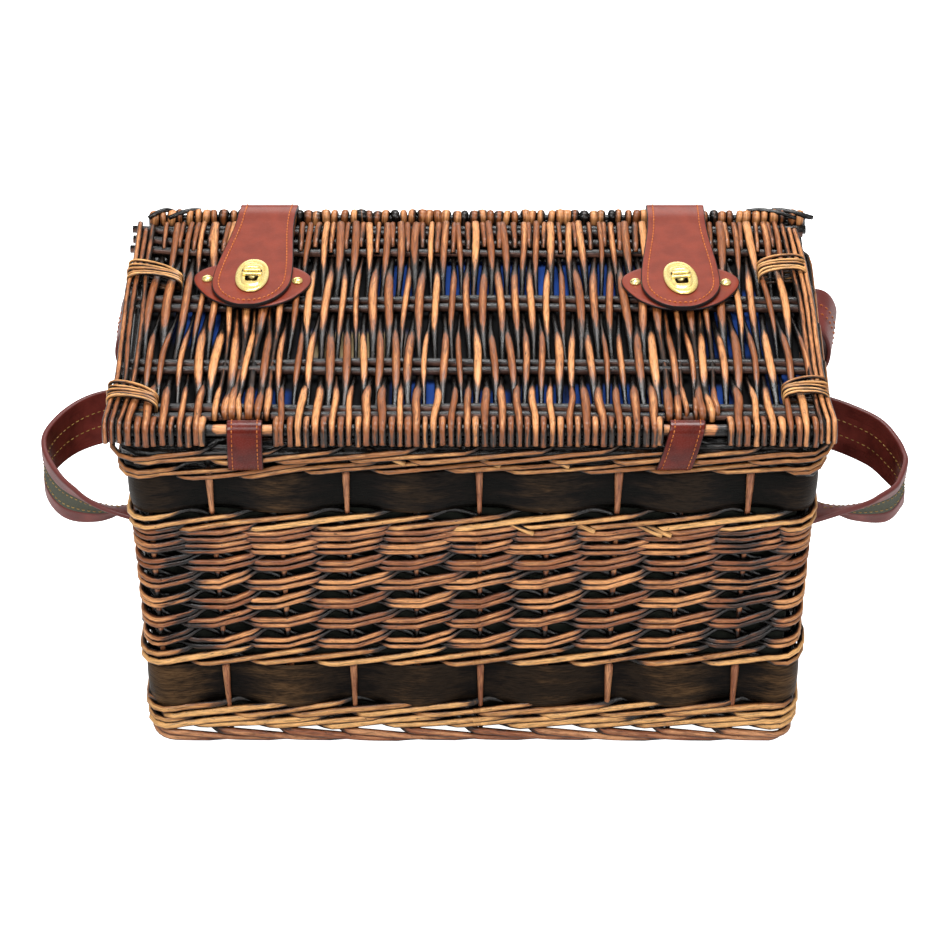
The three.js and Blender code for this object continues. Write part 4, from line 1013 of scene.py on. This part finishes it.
patchForm = {
    "bottom": 279.3, "screws": 30.6, "screwBottom": 281.6,
    "outline": (  # right half, from the far edge to the near edge
        (0, 22), (16, 21.2), (28, 17.8), (36.2, 11.5), (39.8, 4.5),
        (39, -3.5), (34.5, -12.5), (26.5, -22.5), (14, -30), (0, -32),
    ),
    "profile": (  # share of the outline, height
        (0.03, 0), (0.6, 0), (0.97, 0), (1.0, 0.5), (1.0, 1.5), (0.975, 2.0), (0.9, 2.0), (0.6, 2.0), (0.03, 2.0),
    ),
    "rim": (0, 0, 1, 1, 1, 0, 0, 0, 0),
}


def leafPatch(c, s):  # a flat form on a soft closed curve through the right half of the outline and its mirror
    half = np.array(s["outline"], float)
    outline = smoothPath(np.concatenate([half[::-1], half[1:-1] * (-1, 1)]), 160, True)
    rings = turned(flatForm(outline, s["profile"], c["x"], c["y"], s["bottom"]), c["tilt"], c["x"], c["y"])
    return solid(rings, edge=np.array(s["rim"])[:, None])


screwForm = {"radius": 3.6, "height": 2.4, "slot": 0.5, "slotDeep": 0.7}


def domeScrew(x, y, bottom, s):  # a dome with a slot cut across it, painted dark as shade in the slot
    climb = np.linspace(0.12, 1.5, 12)
    share = s["radius"] * np.concatenate([[0.05, 0.99, 1.0], np.cos(climb)])[:, None]
    rise = np.concatenate([[0, 0, 0.3], s["height"] * np.sin(climb) ** 0.9])[:, None]
    angle = np.linspace(0, 2 * np.pi, 48, endpoint=False)
    rings = spots(share * np.cos(angle), share * np.sin(angle), bottom + rise)
    slot = (np.abs(rings[..., 1] - 0.25 * rings[..., 0]) < s["slot"]) & (rise > 1)
    rings[..., 2] -= s["slotDeep"] * slot
    return solid(rings + (x, y, 0), edge=slot.astype(float))


def ovalRadius(angle, a, b, power):  # radius of a squared ellipse at an angle
    return ((np.abs(np.cos(angle)) / a) ** power + (np.abs(np.sin(angle)) / b) ** power) ** (-1 / power)


plateForm = {
    "halfWidth": 11.2, "halfLength": 19.8, "slotWidth": 4.3, "slotLength": 8.4, "bottom": 284.9,
    "profile": (  # share of the way from hole to rim, height, how dark it is painted as shade in the step, the hole and under the rim
        (0.06, 0.0, 1), (1.0, 0.0, 1), (1.02, 0.45, 0.5), (1.0, 1.0, 0), (0.9, 1.45, 0), (0.72, 1.55, 0),
        (0.56, 1.5, 0), (0.5, 1.2, 0.46), (0.46, 1.6, 0), (0.3, 1.95, 0), (0.12, 2.0, 0), (0.02, 1.85, 0),
        (0.0, 1.5, 0.6), (0.0, -0.1, 1), (0.06, -0.1, 1),
    ),
    "floor": ((0.04, 0), (0.6, 0), (1.03, 0), (1.03, 0.15), (0.6, 0.15), (0.04, 0.15)), "floorDown": 0.2,
}


def lockPlate(c, s):
    # oval plate with a square hole: radius runs from hole to rim by share, height by a rolled profile with an oval
    # step, painted dark as shade in the step and the hole; a floor painted dark as shade closes the hole just over the
    # strap
    angle = np.linspace(0, 2 * np.pi, 96, endpoint=False)
    share, height, paintedShade = (np.array(column, float) for column in zip(*s["profile"]))
    hole = ovalRadius(angle, s["slotWidth"], s["slotLength"], 7)
    rim = ovalRadius(angle, s["halfWidth"], s["halfLength"], 2.15)
    radius = hole[:, None] + (rim - hole)[:, None] * share
    cosine, sine = np.cos(angle)[:, None], np.sin(angle)[:, None]
    rings = spots(c["x"] + radius * cosine, c["y"] + radius * sine, s["bottom"] + height)
    slot = hole[:, None] * np.concatenate([cosine, sine], 1)
    floor = flatForm(slot, s["floor"], c["x"], c["y"], s["bottom"] - s["floorDown"])
    return [solid(turned(form, c["turn"], c["x"], c["y"]), ring, edge=mark)
            for form, ring, mark in ((rings, True, paintedShade), (floor, False, 1.0))]


buttonForm = {
    "stem": 2.8, "stemHeights": (281.7, 284.0, 287.2), "barZ": 288.0, "bar": (6.8, 3.2, 1.1), "barSquare": 0.28,
    "ridgeZ": 289.7, "ridge": (6.2, 1.5, 1.1), "ridgeSquare": 0.5, "ridgeShift": 0.5,
}


def blockForm(middle, half, power, steps=15, sides=40):  # squared ellipsoid: cos and sin raised to a small power
    v = np.linspace(-np.pi / 2 + 0.03, np.pi / 2 - 0.03, steps)[:, None]
    u = np.linspace(0, 2 * np.pi, sides, endpoint=False)[None]
    cosV, sinV, cosU, sinU = (squaredOff(w, power) for w in (np.cos(v), np.sin(v), np.cos(u), np.sin(u)))
    return spots(half[0] * cosV * cosU, half[1] * cosV * sinU, half[2] * sinV) + np.array(middle)


def turnButton(c, s):  # a bar with a ridge on top, painted dark as shade in the groove beside the ridge, on a round stem
    x, y, ridgeY = c["x"], c["y"], c["y"] + s["ridgeShift"]
    bar = blockForm((x, y, s["barZ"]), s["bar"], s["barSquare"])
    ridge = blockForm((x, ridgeY, s["ridgeZ"]), s["ridge"], s["ridgeSquare"])
    grooveShade = ease(np.abs(bar[..., 1] - ridgeY), 2.1, 1.7) * (bar[..., 2] > s["barZ"] + 0.6)
    angle = np.linspace(0, 2 * np.pi, 24, endpoint=False)
    stem = spots(x + s["stem"] * np.cos(angle), y + s["stem"] * np.sin(angle), np.array(s["stemHeights"])[:, None])
    top = [solid(turned(form, c["turn"], x, y), edge=paintedShade) for form, paintedShade in ((bar, grooveShade), (ridge, 0.0))]
    return top + [solid(stem)]


for word, c in closures.items():
    putPiece(f"leaf_patch_{word}", leafPatch(c, patchForm), "strap", "lid", [f"lock_patch_{word}"])
    for number, away in ((1, -patchForm["screws"]), (2, patchForm["screws"])):
        screw = domeScrew(c["x"] + away, c["y"] + away * np.radians(c["tilt"]), patchForm["screwBottom"], screwForm)
        putPiece(f"dome_screw_{word}_{number}", screw, "brass", "lid", [f"patch_screw_{word}_{number}"])
    strap, thread = closureStrap(c, strapForm)
    putPiece(f"strap_{word}", strap, "strap", "lid", [f"closure_strap_{word}"])
    putPiece(f"strap_stitches_{word}", thread, "thread", "lid")
    putPiece(f"oval_plate_{word}", lockPlate(c, plateForm), "brass", "lid", [f"lock_plate_{word}"])
    putPiece(f"button_{word}", turnButton(c, buttonForm), "brass", f"turn_{word}", [f"turn_button_{word}"])
print("closures made")


hingeLoops = {
    "left": {"x": -146.5, "skew": 0.0}, "right": {"x": 137.4, "skew": 0.26},
    "width": 23.0, "thick": 2.2, "slack": 0.5, "stitch": 8.2, "stitchLow": 243.0, "front": 115.5,
    "below": (  # out from the front of the wall and height, from the rod down before the rim and up inside
        (-11.3, 259.0), (-11.0, 252.0), (-10.2, 246.0), (-7.0, 241.6),
        (-1.0, 240.0), (4.0, 241.0), (5.9, 247.0), (5.4, 259.0),
    ),
}


def hingeLoop(c, s):
    # a flat section carried round a closed line: over the front rod, down before the rim, under it and up inside
    inner = hinge["rod"] + s["slack"] + s["thick"] / 2
    angle = np.radians(np.arange(0, 181, 20))
    belowY, belowZ = np.array(s["below"]).T
    y = np.concatenate([hinge["y"] + inner * np.cos(angle), -s["front"] + belowY])
    z = np.concatenate([hinge["z"] + inner * np.sin(angle), belowZ])
    path = smoothPath(spots(0, y, z), 110, True)
    across = np.broadcast_to([1.0, 0, 0], path.shape)
    normal = np.cross(across, unit(np.roll(path, -1, 0) - np.roll(path, 1, 0)))
    normal = normal * np.sign(normal[np.argmax(path[:, 2]), 2])
    path[:, 0] = c["x"] + c["skew"] * (path[:, 2] - hinge["z"])
    loop = band(path, across, normal, s["width"] / 2, s["thick"], 8, 0.8, True)
    seen = (path[:, 2] > s["stitchLow"]) & (path[:, 1] < hinge["y"] + 4)
    surface, up = (path + normal * s["thick"] / 2)[seen], normal[seen]
    return loop, [stitches(surface + (v, 0, 0), up, 3.2, 2.2, 0.38) for v in (-s["stitch"], s["stitch"])]


for word in ("left", "right"):
    loop, rows = hingeLoop(hingeLoops[word], hingeLoops)
    putPiece(f"hinge_strap_{word}", loop, "hinge", "basket", [f"hinge_loop_{word}"])
    putPiece(f"hinge_stitches_{word}", rows, "thread", "basket")


handle = {
    "wall": 223.4, "width": 38.0, "thick": 2.6, "fold": 10.5, "foldThick": 3.8,
    "canvas": 18.5, "canvasThick": 0.9, "stitch": 5.4,
    # reach, depth, height, lean
    "left": (
        (-3, 54, 162, -23), (16, 50.5, 163, -20), (35, 44.5, 164.5, -15), (52, 33.5, 163.5, -8),
        (63.5, 17, 163, -4), (69, -2, 163, -1),
        (65.5, -22, 161.5, -2), (54.5, -41, 160.5, 6), (38, -54.5, 163, 26), (19.5, -64, 167, 51), (-3, -69.5, 171, 76),
    ),
    "right": (
        (-3, 56, 163, -13), (15.5, 48.5, 161, -12), (36, 39.5, 159, -12), (55, 26, 157, -13),
        (66, 10, 154, -12), (71.5, -6, 153.5, -3),
        (70, -23, 156, 10), (61, -41, 156, 18), (43, -53.5, 160, 35), (22.5, -62.5, 166, 57), (-3, -69.5, 170.5, 83),
    ),
}


def handleStrap(side, stations, s):
    # a flat section carried from the far end to the near end of the handle, leaning as it goes; two thicker folds along
    # its edges and a strip of canvas between them on the outside, with stitches on both faces
    rows = smoothPath(stations, 110)
    path = spots(side * (s["wall"] + rows[:, 0]), rows[:, 1], rows[:, 2])
    ahead = unit(np.gradient(path, axis=0))
    lean = np.radians(rows[:, 3])
    across = spots(0, -np.sin(lean), np.cos(lean))
    across = unit(across - ahead * np.sum(across * ahead, 1, keepdims=True))
    normal = np.cross(ahead, across)
    normal = normal * np.sign(normal[55, 0] * side)  # away from the wall
    strap = [band(path, across, normal, s["width"] / 2, s["thick"], 14, 1.1)]
    proud = (s["foldThick"] - s["thick"]) / 2
    for v in (-1, 1):
        middle = path + across * v * (s["width"] - s["fold"]) / 2 + normal * proud
        strap.append(band(middle, across, normal, s["fold"] / 2 + 0.2, s["foldThick"], 6, 1.6))
    path, across, normal = (w[6:-6] for w in (path, across, normal))
    face, back = path + normal * (s["thick"] / 2 + 0.1), path - normal * (s["thick"] / 2)
    canvas = band(face, across, normal, s["canvas"] / 2, s["canvasThick"], 8, 0.35)
    sewn = ((face + normal * (s["canvasThick"] / 2), normal, 0.34), (back, -normal, 0.3))
    rows = [stitches(line + across * v, up, 4.4, 2.9, radius)
            for line, up, radius in sewn for v in (-s["stitch"], s["stitch"])]
    return strap, canvas, rows


sideLoops = {
    "left": (-1, 20.0, 0.0), "right": (1, 25.0, 0.16),  # side, reach, slant
    "wall": 225.2, "y": 76.0, "width": 52.0, "thick": 3.0, "stitch": 5.4,
    "stations": (  # share of the reach, height
        (-0.1, 229), (0.45, 233.5), (0.8, 229.5), (1, 217.5),
        (0.95, 205.5), (0.7, 197.5), (0.35, 195.5), (-0.1, 199.5),
    ),
}


def sideLoop(side, reach, slant, s):
    # a flat section carried from the upper end of a loop round to its lower end, further out at its far edge
    rows = smoothPath([(side * (s["wall"] + reach * share), s["y"], z) for share, z in s["stations"]], 60)
    share = np.clip((side * rows[:, 0] - s["wall"]) / reach, 0, 1)
    across = spots(side * slant * share, 1.0, 0.0)
    normal = unit(np.cross(unit(np.gradient(rows, axis=0)), across))
    normal = normal * np.sign(normal[25, 0] * side)  # away from the wall
    loop = band(rows, across, normal, s["width"] / 2, s["thick"], 10, 1.2)
    face = rows + normal * s["thick"] / 2
    return loop, [stitches(face + across * v, normal, 4.4, 2.9, 0.38) for v in (-s["stitch"], s["stitch"])]


for word, side in (("left", -1), ("right", 1)):
    strap, canvas, rows = handleStrap(side, handle[word], handle)
    putPiece(f"handle_strap_{word}", strap, "handle", "basket", [f"handle_{word}"])
    putPiece(f"handle_canvas_{word}", canvas, "canvas", "basket")
    putPiece(f"handle_stitches_{word}", rows, "paleThread", "basket")
    loop, lines = sideLoop(*sideLoops[word], sideLoops)
    putPiece(f"side_strap_{word}", loop, "handle", "basket", [f"side_loop_{word}"])
    putPiece(f"side_stitches_{word}", lines, "thread", "basket")
print("leather made")


# Base

base = {"rod": 2.1, "sticks": 9, "stick": 2.6, "swing": 2.0, "margin": -2.5, "pitch": 2.15}


def baseRods(s):
    # rods along the length of the base, over and under the sticks in turn: z = middle + swing cos(pi place),
    # place counted in sticks
    low, high = ((np.array(corner) * 1000 - (0, shiftY, 0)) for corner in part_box("base_panel"))
    middle = (low[2] + high[2]) / 2
    rows = int((high[1] - low[1] - 2 * s["margin"]) / (s["pitch"] * s["rod"]))
    y = np.linspace(low[1] + s["margin"] + s["rod"], high[1] - s["margin"] - s["rod"], rows)[:, None]
    x = np.linspace(low[0] + s["margin"], high[0] - s["margin"], 74)[None]
    place = (x - low[0]) / (high[0] - low[0]) * s["sticks"] - 0.5
    z = middle + s["swing"] * np.cos(np.pi * (place + np.arange(rows)[:, None]))
    size = s["rod"] * drawn(1.16, 1.28, rows)
    tone = chance.uniform(0.0, 0.8, rows)
    woven = tubes(spots(x, y + 0.3 * np.sin(x / 30 + y), z), size, 6, raised=0.9, tone=tone, flankStainAndShade=0.4, crest=90)
    stickX = low[0] + (np.arange(s["sticks"]) + 0.5) / s["sticks"] * (high[0] - low[0])
    stickY = np.linspace(low[1] + s["margin"], high[1] - s["margin"], 12)
    return [woven, tubes(spots(stickX[:, None], stickY[None], middle), s["stick"], 8, (1, 0, 0), raised=0.6, tone=0.4)]


putPiece("base_rods", baseRods(base), "footRod", "basket", ["base_panel"])
print("base woven")
putFloor(studio)
setStudio(studio)
